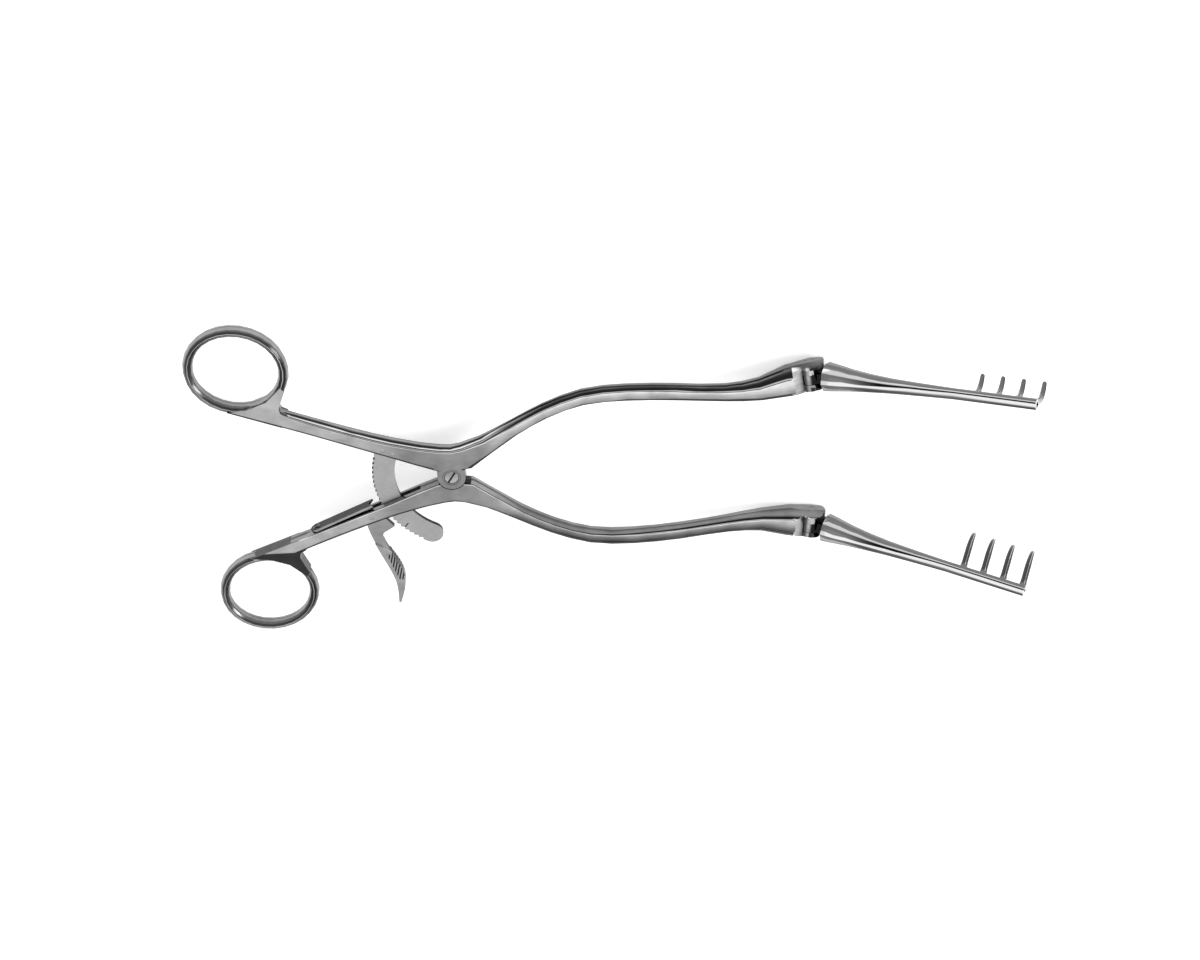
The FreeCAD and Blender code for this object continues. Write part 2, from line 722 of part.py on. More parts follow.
def feature(label, shape, placement=None):
    """Add one finished piece whose shape no single feature makes."""
    piece = doc.addObject("Part::Feature", label)
    piece.Label = label
    piece.Shape = shape
    if placement is not None:
        piece.Placement = placement
    made.append(piece)


def new_body(label):
    """Add an empty body for one piece."""
    body = doc.addObject("PartDesign::Body", label)
    body.Label = label
    made.append(body)
    return body


def drawing_on(body, name, plane_role, edges, lift=0.0, turn=0.0):
    """Add a sketch to a body on one of its origin planes, lifted and turned."""
    drawing = body.newObject("Sketcher::SketchObject", name)
    plane = [item for item in body.Origin.OriginFeatures if item.Role == plane_role][0]
    drawing.AttachmentSupport = [(plane, "")]
    drawing.MapMode = "FlatFace"
    drawing.AttachmentOffset = FreeCAD.Placement(V(0, 0, lift), FreeCAD.Rotation(UP, turn))
    drawing.addGeometry(edges, False)
    return drawing


def pad_about_middle(body, name, edges, thick_alias):
    """Pad an outline both ways from the mid-plane."""
    pad = body.newObject("PartDesign::Pad", name)
    pad.Profile = drawing_on(body, name + "_outline", "XY_Plane", edges, MID)
    pad.Midplane = True
    pad.setExpression("Length", "Dimensions." + thick_alias)


def cut_through(body, name, edges):
    """Cut an outline right through a body, both ways from the mid-plane."""
    pocket = body.newObject("PartDesign::Pocket", name)
    pocket.Profile = drawing_on(body, name + "_outline", "XY_Plane", edges, MID)
    pocket.Midplane = True
    pocket.Type = "Length"
    pocket.setExpression("Length", "2 * Dimensions.forging_thick")


# The two forged halves
loft = forging()
half_run = loft.fuse([finger_ring(), ring_web()])

left_shape = half_run.cut(boss_clearance(1)).fuse(boss(1))
head_bore = Part.makeCylinder(size("screw_head_radius") + size("head_fit"), THROUGH,
                              V(0, 0, FRONT - size("screw_head_high") - size("lap_gap") / 4))
rack_pin_bores = [rod(size("rack_pin_radius") + size("pin_fit"), spot)
                  for spot in rack_pin_spots()]
left_shape = left_shape.cut([rod(size("screw_radius") + size("run_fit")), head_bore,
                             rack_pocket(), hinge_cut(1)] + rack_pin_bores)
feature("left_half", left_shape)

right_shape = mirrored(half_run).cut(boss_clearance(-1)).fuse(boss(-1))
right_shape = right_shape.cut([rod(size("screw_radius") + size("pin_fit")), lever_slot(),
                               rod(size("lever_pin_radius") + size("pin_fit"), LEVER_PIN),
                               hinge_cut(-1), spring_screw_bore()])
feature("right_half", right_shape)

# Pivot screw, turned to profile and slotted across the head
screw = new_body("pivot_screw")
stem = size("screw_radius")
head = size("screw_head_radius")
under_head = FRONT - size("screw_head_high")
edge = size("edge_break")
corners = flat([(0, 0), (stem, 0), (stem, under_head), (head, under_head), (head, FRONT - edge),
                (head - edge, FRONT), (0, FRONT)])
profile = drawing_on(screw, "screw_profile", "XZ_Plane", segments(corners + corners[:1]))
turned = screw.newObject("PartDesign::Revolution", "screw_turned")
turned.Profile = profile
turned.ReferenceAxis = (profile, ["V_Axis"])
turned.Angle = 360
half_wide = size("screw_slot_wide") / 2
corners = flat([(-head - 1, -half_wide), (head + 1, -half_wide), (head + 1, half_wide),
                (-head - 1, half_wide)])
slot_cut = screw.newObject("PartDesign::Pocket", "screw_slot")
slot_cut.Profile = drawing_on(screw, "screw_slot_outline", "XY_Plane",
                              segments(corners + corners[:1]), FRONT, size("screw_slot_turn"))
slot_cut.setExpression("Length", "Dimensions.screw_slot_deep")

# Ratchet bar and the pins that hold it, which end just below both faces
rack = new_body("ratchet_bar")
pad_about_middle(rack, "rack_plate", rack_edges(), "rack_thick")
cut_through(rack, "rack_pin_bores",
            [Part.Circle(spot, UP, size("rack_pin_radius") + size("pin_fit"))
             for spot in rack_pin_spots()])
pin_foot = UP * ((FRONT - size("pin_long")) / 2)
feature("ratchet_pins", Part.makeCompound([
    Part.makeCylinder(size("rack_pin_radius"), size("pin_long"), spot + pin_foot)
    for spot in rack_pin_spots()]))

# Release lever: a thin plate in the slot, a thicker grooved grip below it, and its pin
lever = new_body("release_lever")
pad_about_middle(lever, "lever_plate", lever_edges(), "lever_thick")
pad_about_middle(lever, "lever_grip", grip_edges(), "grip_thick")
cut_through(lever, "grip_grooves", groove_edges())
cut_through(lever, "lever_bore",
            [Part.Circle(LEVER_PIN, UP, size("lever_pin_radius") + size("run_fit"))])
lever_pin = doc.addObject("Part::Cylinder", "lever_pin")
lever_pin.Label = "lever_pin"
lever_pin.setExpression("Radius", "Dimensions.lever_pin_radius")
lever_pin.setExpression("Height", "Dimensions.pin_long")
lever_pin.Placement.Base = LEVER_PIN
lever_pin.setExpression("Placement.Base.z",
                        "(Dimensions.forging_thick - Dimensions.pin_long) / 2")
made.append(lever_pin)

# Leaf spring on the right shank, and its screw
feature("lever_spring", leaf_shape(), leaf_placement())
feature("spring_screw", spring_screw_shape(), leaf_placement())

# Blades, part folded, and their hinge pins dressed to the round of the knuckle
left_blade = blade()
feature("left_blade", left_blade, hinge_placement(1, size("blade_fold")))
feature("right_blade", mirrored(left_blade), hinge_placement(-1, size("blade_fold")))
for name, side, knuckle in (("left_hinge_pin", 1, loft), ("right_hinge_pin", -1, mirrored(loft))):
    pin = across(size("hinge_pin_radius"), 4 * size("base_radius"))
    pin.Placement = hinge_placement(side, 0)
    feature(name, pin.common(knuckle))

doc.recompute()

for item in doc.Objects:
    if "Invalid" in item.State or "Error" in item.State:
        raise RuntimeError("%s failed: %s" % (item.Name, item.State))
for piece in made:
    if piece.Shape.isNull() or not piece.Shape.isValid() or not piece.Shape.Solids:
        raise RuntimeError("%s has no valid solid" % piece.Label)

os.makedirs("parts", exist_ok=True)
for piece in made:
    piece.Shape.exportStep(os.path.join("parts", piece.Label + ".step"))
    box = piece.Shape.BoundBox
    print("%-16s solids %d volume %8.1f  x %7.1f %7.1f  y %7.1f %7.1f  z %6.1f %6.1f" % (
        piece.Label, len(piece.Shape.Solids), piece.Shape.Volume,
        box.XMin, box.XMax, box.YMin, box.YMax, box.ZMin, box.ZMax))
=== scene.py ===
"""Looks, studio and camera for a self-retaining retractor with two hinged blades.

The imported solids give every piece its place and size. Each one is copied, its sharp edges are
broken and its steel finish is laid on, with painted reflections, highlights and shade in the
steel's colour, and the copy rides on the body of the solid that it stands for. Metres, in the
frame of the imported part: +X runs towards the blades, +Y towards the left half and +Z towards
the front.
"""

import json
import logging
import math
from dataclasses import dataclass, replace
from enum import Enum
from typing import Sequence, Union

import bpy
from mathutils import Matrix, Vector

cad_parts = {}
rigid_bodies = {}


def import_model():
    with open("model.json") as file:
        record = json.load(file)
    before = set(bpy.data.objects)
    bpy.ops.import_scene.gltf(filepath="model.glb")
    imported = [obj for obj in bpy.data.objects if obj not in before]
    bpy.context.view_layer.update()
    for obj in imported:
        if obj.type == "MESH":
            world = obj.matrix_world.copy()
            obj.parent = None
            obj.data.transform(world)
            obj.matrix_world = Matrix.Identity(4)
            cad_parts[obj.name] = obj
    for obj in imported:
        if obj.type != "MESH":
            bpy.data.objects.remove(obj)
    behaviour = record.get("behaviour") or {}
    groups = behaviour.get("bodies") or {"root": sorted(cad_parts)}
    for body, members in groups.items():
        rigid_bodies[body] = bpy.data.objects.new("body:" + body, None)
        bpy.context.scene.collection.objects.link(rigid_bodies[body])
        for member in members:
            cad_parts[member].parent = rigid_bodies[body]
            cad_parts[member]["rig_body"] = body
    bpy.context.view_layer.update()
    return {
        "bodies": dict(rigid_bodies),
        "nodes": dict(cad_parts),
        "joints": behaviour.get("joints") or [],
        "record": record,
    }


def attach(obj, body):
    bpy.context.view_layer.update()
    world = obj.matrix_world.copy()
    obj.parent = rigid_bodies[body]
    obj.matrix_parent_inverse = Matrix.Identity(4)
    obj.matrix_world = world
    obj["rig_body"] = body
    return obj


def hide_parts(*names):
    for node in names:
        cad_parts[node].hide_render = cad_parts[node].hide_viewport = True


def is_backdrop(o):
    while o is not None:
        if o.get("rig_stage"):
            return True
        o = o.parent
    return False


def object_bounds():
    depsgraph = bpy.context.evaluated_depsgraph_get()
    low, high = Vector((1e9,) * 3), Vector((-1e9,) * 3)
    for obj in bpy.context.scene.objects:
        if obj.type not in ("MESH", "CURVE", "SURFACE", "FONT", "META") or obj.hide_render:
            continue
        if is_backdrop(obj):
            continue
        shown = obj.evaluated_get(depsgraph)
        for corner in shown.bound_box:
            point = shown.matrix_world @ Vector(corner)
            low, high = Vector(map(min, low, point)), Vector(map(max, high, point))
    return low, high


LOG = logging.getLogger("retractor")
MM = 0.001

Socket = bpy.types.NodeSocket
Number = Union[float, Socket]
Span = tuple[float, float]
Spot = tuple[float, float, float]

# The blades' hinge pins, in millimetres (Y is mirrored for the right one) and degrees.
HINGE_SPOT: Spot = (133.7, 33.7, -1.3)
HINGE_SPLAY = 6.0
HINGE_FOLD = 28.8


class Slot(Enum):
    """The material slots of the record."""

    SATIN = "satin_steel"
    MATTE = "matte_steel"
    POLISHED = "polished_steel"


class NodeSketch:
    """Short calls that place and join the nodes of one tree."""

    def __init__(self, tree: bpy.types.NodeTree) -> None:
        """Start on a tree.

        Args:
            tree: The node tree to add nodes to.
        """
        self.tree = tree

    def add(self, kind: str, **settings: object) -> bpy.types.Node:
        """Add one node and set its properties.

        Args:
            kind: The node's type name.
            **settings: Properties of the node and their values.

        Returns:
            The new node.
        """
        node = self.tree.nodes.new(kind)
        for name, value in settings.items():
            setattr(node, name, value)
        return node

    def feed(self, socket: Socket, value: Number) -> None:
        """Join a socket to an input, or set the input to a number."""
        if isinstance(value, bpy.types.NodeSocket):
            self.tree.links.new(value, socket)
        else:
            socket.default_value = value

    def calc(self, operation: str, *values: Number, clamp: bool = False) -> Socket:
        """Return the result of one step of arithmetic.

        Args:
            operation: The name of the operation.
            *values: Its inputs, sockets or numbers.
            clamp: Whether the result is kept between 0 and 1.

        Returns:
            The socket that carries the result.
        """
        node = self.add("ShaderNodeMath", operation=operation, use_clamp=clamp)
        for socket, value in zip(node.inputs, values):
            self.feed(socket, value)
        return node.outputs[0]

    def ramp(self, value: Number, low: float, high: float) -> Socket:
        """Return a soft step from 0 at the low value to 1 at the high one."""
        node = self.add("ShaderNodeMapRange", interpolation_type="SMOOTHSTEP")
        self.feed(node.inputs["Value"], value)
        node.inputs["From Min"].default_value = low
        node.inputs["From Max"].default_value = high
        return node.outputs["Result"]

    def step(self, value: Number, span: Span) -> Socket:
        """Return a soft step from 0 to 1 over a span in millimetres."""
        return self.ramp(value, span[0] * MM, span[1] * MM)

    def fade(self, share: Number, first: Number, second: Number) -> Socket:
        """Return the first number where the share is 0 and the second where it is 1."""
        node = self.add("ShaderNodeMix", data_type="FLOAT")
        self.feed(node.inputs[0], share)
        self.feed(node.inputs[2], first)
        self.feed(node.inputs[3], second)
        return node.outputs[0]

    def parts(self, vector: Socket) -> Sequence[Socket]:
        """Return the three components of a vector."""
        node = self.add("ShaderNodeSeparateXYZ")
        self.feed(node.inputs[0], vector)
        return node.outputs

    def grey(self, value: Socket) -> Socket:
        """Return a neutral colour of the given brightness."""
        node = self.add("ShaderNodeCombineColor")
        for socket in node.inputs:
            self.feed(socket, value)
        return node.outputs[0]


@dataclass(frozen=True)
class PlaceLine:
    """A value that follows a place or a turn, such as an edge that follows X.

    Attributes:
        points: Pairs of a place and the value there.
        start: The first place that the line covers.
        reach: How far it covers places from there.
        low: The lowest value that it can hold.
        span: How far values reach above that.
    """

    points: tuple[tuple[float, float], ...]
    start: float
    reach: float
    low: float = 0.0
    span: float = 1.0

    def drawn(self, sketch: NodeSketch, place: Socket) -> Socket:
        """Return the value at a place.

        Args:
            sketch: The tree to draw in.
            place: The place, in the line's own unit.

        Returns:
            The socket with the value.
        """
        ramp = sketch.add("ShaderNodeValToRGB")
        elements = ramp.color_ramp.elements
        while len(elements) < len(self.points):
            elements.new(0.5)
        for stop, (spot, value) in zip(elements, self.points):
            stop.position = (spot - self.start) / self.reach
            stop.color = ((value - self.low) / self.span,) * 3 + (1.0,)
        sketch.feed(ramp.inputs[0], sketch.calc("DIVIDE", sketch.calc("SUBTRACT", place,
                                                                      self.start), self.reach))
        found = sketch.parts(ramp.outputs[0])[0]
        return sketch.calc("ADD", sketch.calc("MULTIPLY", found, self.span), self.low)


def bands(stops: tuple[Span, ...]) -> PlaceLine:
    """Return the painted reflections and shade that a polished surface is given as it turns away
    from the front.

    Args:
        stops: Pairs of a turn in degrees and a tone. A turn of 0 looks to the front, one of 90
            towards +Y, one of -90 towards -Y and one of 180 or -180 to the back.

    Returns:
        The line that the tones follow.
    """
    return PlaceLine(stops, start=-180.0, reach=360.0)


# Painted reflections and shade: bright and dark bands in the steel's colour, set by the way a
# surface faces, that stand in for the room reflected in polished steel.
SHANK_PAINTED_REFLECTIONS = bands((
    (-180.0, 0.50), (-172.0, 0.50), (-165.0, 0.08), (-60.0, 0.05), (-34.0, 0.02), (-14.0, 0.02),
    (-8.0, 0.50), (8.0, 0.58), (12.0, 0.92), (29.0, 0.90), (33.0, 0.04), (44.0, 0.03),
    (52.0, 0.18), (62.0, 0.28), (86.0, 0.26), (89.0, 0.06), (91.0, 0.06), (94.0, 0.26),
    (110.0, 0.18), (121.0, 0.03), (165.0, 0.08), (172.0, 0.50), (180.0, 0.50)))
ARM_PAINTED_REFLECTIONS = bands((
    (-180.0, 0.50), (-172.0, 0.50), (-165.0, 0.08), (-60.0, 0.05), (-34.0, 0.02), (-14.0, 0.03),
    (-7.0, 0.50), (7.0, 0.75), (11.0, 0.92), (19.0, 0.92), (22.0, 0.10), (25.0, 0.10),
    (29.0, 0.60), (33.0, 0.60), (40.0, 0.02), (66.0, 0.03), (80.0, 0.18), (86.0, 0.14),
    (90.0, 0.05), (95.0, 0.20), (106.0, 0.15), (117.0, 0.03), (165.0, 0.08), (172.0, 0.50),
    (180.0, 0.50)))
BLADE_PAINTED_REFLECTIONS = bands((
    (-180.0, 0.10), (-60.0, 0.02), (-30.0, 0.03), (-16.0, 0.10), (-8.0, 0.22), (-2.0, 0.34),
    (3.0, 0.70), (9.0, 0.98), (22.0, 0.98), (26.0, 0.01), (44.0, 0.01), (49.0, 0.90),
    (60.0, 0.95), (66.0, 0.16), (74.0, 0.12), (104.0, 0.14), (120.0, 0.03), (180.0, 0.10)))

# Where the front faces of the two halves end towards -Y, in millimetres along X and Y. The
# painted shade on each front, darker towards that edge, is laid out from it.
LEFT_EDGE = PlaceLine((
    (-79.0, 33.9), (-60.0, 26.4), (-50.0, 22.4), (-36.0, 16.6), (-22.0, 10.8), (-12.0, 6.5),
    (-5.6, 4.0), (-5.2, -20.0), (5.0, -20.0), (5.6, 3.4), (14.0, 9.4), (24.0, 17.1),
    (36.0, 24.4), (50.0, 29.8), (66.0, 31.0), (84.0, 30.1), (102.0, 28.4), (115.0, 27.8),
    (125.0, 28.8), (134.0, 30.3)), start=-100.0, reach=250.0, low=-60.0, span=120.0)
RIGHT_EDGE = PlaceLine((
    (-62.0, -31.7), (-50.0, -26.4), (-36.0, -20.7), (-22.0, -15.6), (-12.0, -12.8),
    (-4.5, -11.2), (0.5, -10.7), (6.0, -12.0), (14.0, -15.2), (24.0, -20.7), (36.0, -27.2),
    (50.0, -32.4), (66.0, -33.7), (84.0, -32.7), (102.0, -30.8), (115.0, -31.0),
    (125.0, -33.8), (134.0, -35.6)), start=-100.0, reach=250.0, low=-60.0, span=120.0)

# Painted reflections and shade over a blade hinge: light and dark bands in the steel's colour,
# then a painted black shadow in the gap behind the blade's base. They run from the facet before
# the pin to that gap, in millimetres along the arm from the pin.
HINGE_PAINTED_LIGHT = PlaceLine((
    (-7.0, 0.80), (-4.8, 0.62), (-4.0, 0.40), (-3.0, 0.07), (-2.2, 0.12), (-1.4, 0.52),
    (-0.8, 0.42), (-0.3, 0.08), (0.1, 0.02), (5.2, 0.02), (6.5, 0.20)), start=-10.0, reach=20.0)


# The looks below have tones from 0 for black to 1 for white. Spans are soft steps: those of a
# place, height or radius are in millimetres, and those of a turn are parts of a normal.
@dataclass(frozen=True)
class BossLook:
    """The dark line on the front boss, and the painted shade in the pocket beside the back one.

    Attributes:
        line_start: Radii over which the line around the screw's head starts.
        line_end: Radii over which it ends.
        line_tone: Its tone.
        pocket_end: Radii over which the pocket ends.
        pocket_start: Along X, where the pocket starts.
        pocket_shade_tone: Tone of the painted shade in the pocket.
    """

    line_start: Span = (3.05, 3.20)
    line_end: Span = (3.35, 3.50)
    line_tone: float = 0.14
    pocket_end: Span = (7.6, 8.0)
    pocket_start: Span = (3.6, 4.2)
    pocket_shade_tone: float = 0.02


@dataclass(frozen=True)
class ForgingLook:
    """Where the looks of a forged half change, and its tones there.

    Attributes:
        name: Name of the material.
        edge: Where the front face ends towards -Y.
        arm_face_shading: Painted shading of the arm's front: its tone beside that edge, darker,
            and away from it, lighter.
        arm_start: Along X, from the satin shank to the polished arm.
        ring_end: Along X, from the finger ring to the shank.
        ring_tone: Tone that the ring's painted reflection bands are drawn to.
        ring_share: How far they are drawn to it.
        joint_x: Middle of the joint's darker front along X.
        joint_reach: Distances from there over which it gets lighter.
        joint_tone: Tone of the joint's front.
        shank_tone: Tone of the shank's front.
        arm_rise: Distances from the edge over which the painted shading of the arm's front
            changes tone.
        rim_end: Distances from the edge over which its painted dark rim of shade ends.
        rim_shade_tone: Tone of the painted shade along the rim.
        hinge_start: Along the arm from the hinge pin, where the hinge's painted reflections and
            shade start.
        hinge_side: Across the arm from the pin, where they end.
        hinge_height: Along Z, where they start.
        lap_height: Along Z, from the hidden faces of the lap joint to the front.
        gap_end: Radii over which the painted shade in the gap around the boss ends.
        gap_shade_tone: Tone of the painted shade in the gap.
        boss: Line and painted pocket shade at the lap joint.
    """

    name: str
    edge: PlaceLine
    arm_face_shading: Span
    arm_start: Span = (12.0, 26.0)
    ring_end: Span = (-66.0, -56.0)
    ring_tone: float = 0.34
    ring_share: float = 0.10
    joint_x: float = -4.0
    joint_reach: Span = (8.0, 34.0)
    joint_tone: float = 0.32
    shank_tone: float = 0.54
    arm_rise: Span = (0.2, 4.6)
    rim_end: Span = (0.1, 0.5)
    rim_shade_tone: float = 0.05
    hinge_start: Span = (-6.9, -6.6)
    hinge_side: Span = (4.5, 4.9)
    hinge_height: Span = (-1.0, 0.0)
    lap_height: Span = (5.7, 5.8)
    gap_end: Span = (5.8, 6.0)
    gap_shade_tone: float = 0.02
    boss: BossLook = BossLook()


@dataclass(frozen=True)
class ScoreLook:
    """The dark score on the front of the ratchet bar.

    Attributes:
        floor: Along Z, where the score starts.
        top: Along Z, where it ends.
        tone: Its tone.
    """

    floor: Span = (3.50, 3.55)
    top: Span = (3.70, 3.76)
    tone: float = 0.04


@dataclass(frozen=True)
class GripLook:
    """The raised neck and the grooved grip of the release lever.

    Attributes:
        neck_height: Along Z, from the neck's wall to its front.
        neck_end: Along Y, where the neck ends.
        side_way: Direction in the XY plane that leads out of the grip's thumb side.
        side_spot: X and Y of a place on that side, in millimetres.
        side_reach: Distances from that side where the grooves start.
        tip: Along Y, where the grooves start.
        root: Along Y, where they end.
        groove_way: Direction in the XY plane square to the grooves.
        groove_pitch: Distance from groove to groove, in millimetres.
        groove_rise: Values of the wave over which a groove starts.
        groove_tone: Tone of the grooves.
    """

    neck_height: Span = (4.05, 4.1)
    neck_end: Span = (-34.6, -34.4)
    side_way: Span = (0.952, 0.305)
    side_spot: Span = (-21.55, -47.0)
    side_reach: Span = (-2.3, -2.0)
    tip: Span = (-47.6, -47.2)
    root: Span = (-35.4, -35.0)
    groove_way: Span = (0.972, -0.237)
    groove_pitch: float = 1.1
    groove_rise: Span = (-0.3, 0.1)
    groove_tone: float = 0.03


@dataclass(frozen=True)
class ScrewLook:
    """The pivot screw's head, with painted shading graded across it, and the painted shade in its
    slot.

    Attributes:
        head: Along Y, over which the head's painted shading changes.
        head_shading_tones: Its painted tones towards -Y, lighter, and +Y, darker.
        slot: Along Z, from the slot's floor to the head.
        slot_shade_tone: Tone of the painted shade in the slot.
    """

    head: Span = (-2.4, 2.4)
    head_shading_tones: Span = (0.62, 0.34)
    slot: Span = (5.6, 5.85)
    slot_shade_tone: float = 0.03


@dataclass(frozen=True)
class BladeLook:
    """Where the looks of a blade change in its hinge frame, and its tones there: painted
    reflections, highlights and shade.

    Attributes:
        name: Name of the material.
        prong_reflection_tone: Tone of the prongs, a painted dark reflection.
        prong_lit: Whether the prongs have a painted highlight line.
        base_end: Along the blade, where the painted light on its base ends.
        base_tone: Lowest tone of the painted light on the base's front.
        base_turn: Turn to the front over which that tone starts.
        end_turn: Turn along the blade over which an end's tone starts.
        end_tone: Painted reflection tone of the tip's end face.
        back_slope: Rise of the bar's back for each step along the blade.
        back_start: Height of that back at the hinge pin, in millimetres.
        prong_root: Distances below the bar's back over which the prongs start.
        rake_start: Along the blade, where the rake starts.
        rim_turn: Turn along the blade over which the prongs get their painted dark outline of
            shade.
        rim_shade_tone: Tone of the painted shade outline.
        lit_start: Turn over which the painted highlight line starts.
        lit_end: Turn over which it ends.
        lit_tone: Its tone.
        hidden_end: Along the blade, where the part between the fork's ears ends.
        behind_shade_tone: Tone of the painted shade on the base's end face.
    """

    name: str
    prong_reflection_tone: float
    prong_lit: bool
    base_end: Span = (12.0, 30.0)
    base_tone: float = 0.24
    base_turn: Span = (0.0, 0.6)
    end_turn: Span = (0.80, 0.92)
    end_tone: float = 0.55
    back_slope: float = -0.046
    back_start: float = 0.2
    prong_root: Span = (0.0, 0.5)
    rake_start: Span = (50.0, 52.0)
    rim_turn: Span = (0.62, 0.85)
    rim_shade_tone: float = 0.03
    lit_start: Span = (0.30, 0.38)
    lit_end: Span = (0.48, 0.56)
    lit_tone: float = 0.42
    hidden_end: Span = (6.2, 6.5)
    behind_shade_tone: float = 0.02


class EffectGroups:
    """The effects that several steels share, each built once as a node group: the finishing grain
    and the painted reflection bands.

    Attributes:
        marks_detail: Detail of the fine finishing marks.
        cloud_scale: Scale of the wider patches, per metre.
        cloud_detail: Detail of those patches.
        side_blend: Shares of a turn towards +Y over which the painted reflection tones of the -Y
            side give way.
        least_level: Smallest number that is divided by.
    """

    marks_detail: float = 3.0
    cloud_scale: float = 130.0
    cloud_detail: float = 2.0
    side_blend: Span = (-0.60, 0.10)
    least_level: float = 1e-4

    def __init__(self) -> None:
        """Build every group."""
        self.grain = self.build_grain()
        self.shank_painted_reflections = self.build_bands("ShankPaintedReflections", SHANK_PAINTED_REFLECTIONS)
        self.arm_painted_reflections = self.build_bands("ArmPaintedReflections", ARM_PAINTED_REFLECTIONS)
        self.blade_painted_reflections = self.build_bands("BladePaintedReflections", BLADE_PAINTED_REFLECTIONS)

    @staticmethod
    def blank(name: str, inputs: Sequence[str], outputs: Sequence[str]) -> bpy.types.NodeTree:
        """Return an empty group with named number sockets.

        Args:
            name: The group's name.
            inputs: Names of the inputs.
            outputs: Names of the outputs.

        Returns:
            The group's node tree.
        """
        tree = bpy.data.node_groups.new(name, "ShaderNodeTree")
        for way, labels in (("INPUT", inputs), ("OUTPUT", outputs)):
            for label in labels:
                tree.interface.new_socket(name=label, in_out=way, socket_type="NodeSocketFloat")
        return tree

    def build_grain(self) -> bpy.types.NodeTree:
        """Return the group for fine finishing marks that run along the instrument."""
        tree = self.blank("FinishingGrain", ["Fineness", "Run"], ["Grain", "Cloud"])
        sketch = NodeSketch(tree)
        given = sketch.add("NodeGroupInput")
        put = sketch.add("NodeGroupOutput")
        place = sketch.add("ShaderNodeTexCoord").outputs["Object"]
        along, over, up = sketch.parts(place)
        stretched = sketch.add("ShaderNodeCombineXYZ")
        sketch.feed(stretched.inputs[0], sketch.calc("MULTIPLY", along, given.outputs["Run"]))
        sketch.feed(stretched.inputs[1], over)
        sketch.feed(stretched.inputs[2], up)
        marks = sketch.add("ShaderNodeTexNoise")
        sketch.feed(marks.inputs["Vector"], stretched.outputs[0])
        sketch.feed(marks.inputs["Scale"], given.outputs["Fineness"])
        marks.inputs["Detail"].default_value = self.marks_detail
        cloud = sketch.add("ShaderNodeTexNoise")
        sketch.feed(cloud.inputs["Vector"], place)
        cloud.inputs["Scale"].default_value = self.cloud_scale
        cloud.inputs["Detail"].default_value = self.cloud_detail
        sketch.feed(put.inputs["Grain"], marks.outputs["Fac"])
        sketch.feed(put.inputs["Cloud"], cloud.outputs["Fac"])
        return tree

    def build_bands(self, name: str, line: PlaceLine) -> bpy.types.NodeTree:
        """Return the group that paints reflections and shade into the steel's colour, by the way
        that a surface faces.

        Args:
            name: The group's name.
            line: The tones for every turn.

        Returns:
            The group, with the normal's parts for inputs and the tone for its output.
        """
        tree = self.blank(name, ["Along", "Across", "Front"], ["Tone"])
        sketch = NodeSketch(tree)
        given = sketch.add("NodeGroupInput").outputs
        put = sketch.add("NodeGroupOutput")
        level = sketch.calc("SQRT", sketch.calc(
            "ADD", sketch.calc("MULTIPLY", given["Along"], given["Along"]),
            sketch.calc("MULTIPLY", given["Across"], given["Across"])))
        turn = sketch.calc("ARCTAN2", level, given["Front"])
        share = sketch.calc("DIVIDE", given["Across"],
                            sketch.calc("MAXIMUM", level, self.least_level))
        tones = [line.drawn(sketch, sketch.calc("MULTIPLY", turn, math.degrees(sign)))
                 for sign in (-1.0, 1.0)]
        sketch.feed(put.inputs["Tone"],
                    sketch.fade(sketch.ramp(share, *self.side_blend), *tones))
        return tree


@dataclass(frozen=True)
class SteelFinish:
    """How one finish of the stainless steel looks.

    Attributes:
        name: Name of the material.
        face: Tone of the front and back faces, where no look sets it.
        side_tint: What the painted reflection tones of walls and edges are multiplied by.
        side_rough: Roughness of walls and edges.
        face_rough: Roughness of the front and back faces.
        fineness: Scale of the finishing marks, per metre.
        run: How far the marks are drawn out along the instrument.
        grain: How strongly the marks change the tone.
        cloud: How strongly wider patches change it.
        relief: Height of the marks for the light.
        mark_rough: How much of the marks goes into the roughness.
        relief_reach: Distance that the relief stands for.
    """

    name: str
    face: float = 0.52
    side_tint: float = 1.0
    side_rough: float = 0.20
    face_rough: float = 0.36
    fineness: float = 1000.0
    run: float = 0.25
    grain: float = 0.34
    cloud: float = 0.80
    relief: float = 0.02
    mark_rough: float = 0.6
    relief_reach: float = 0.2 * MM


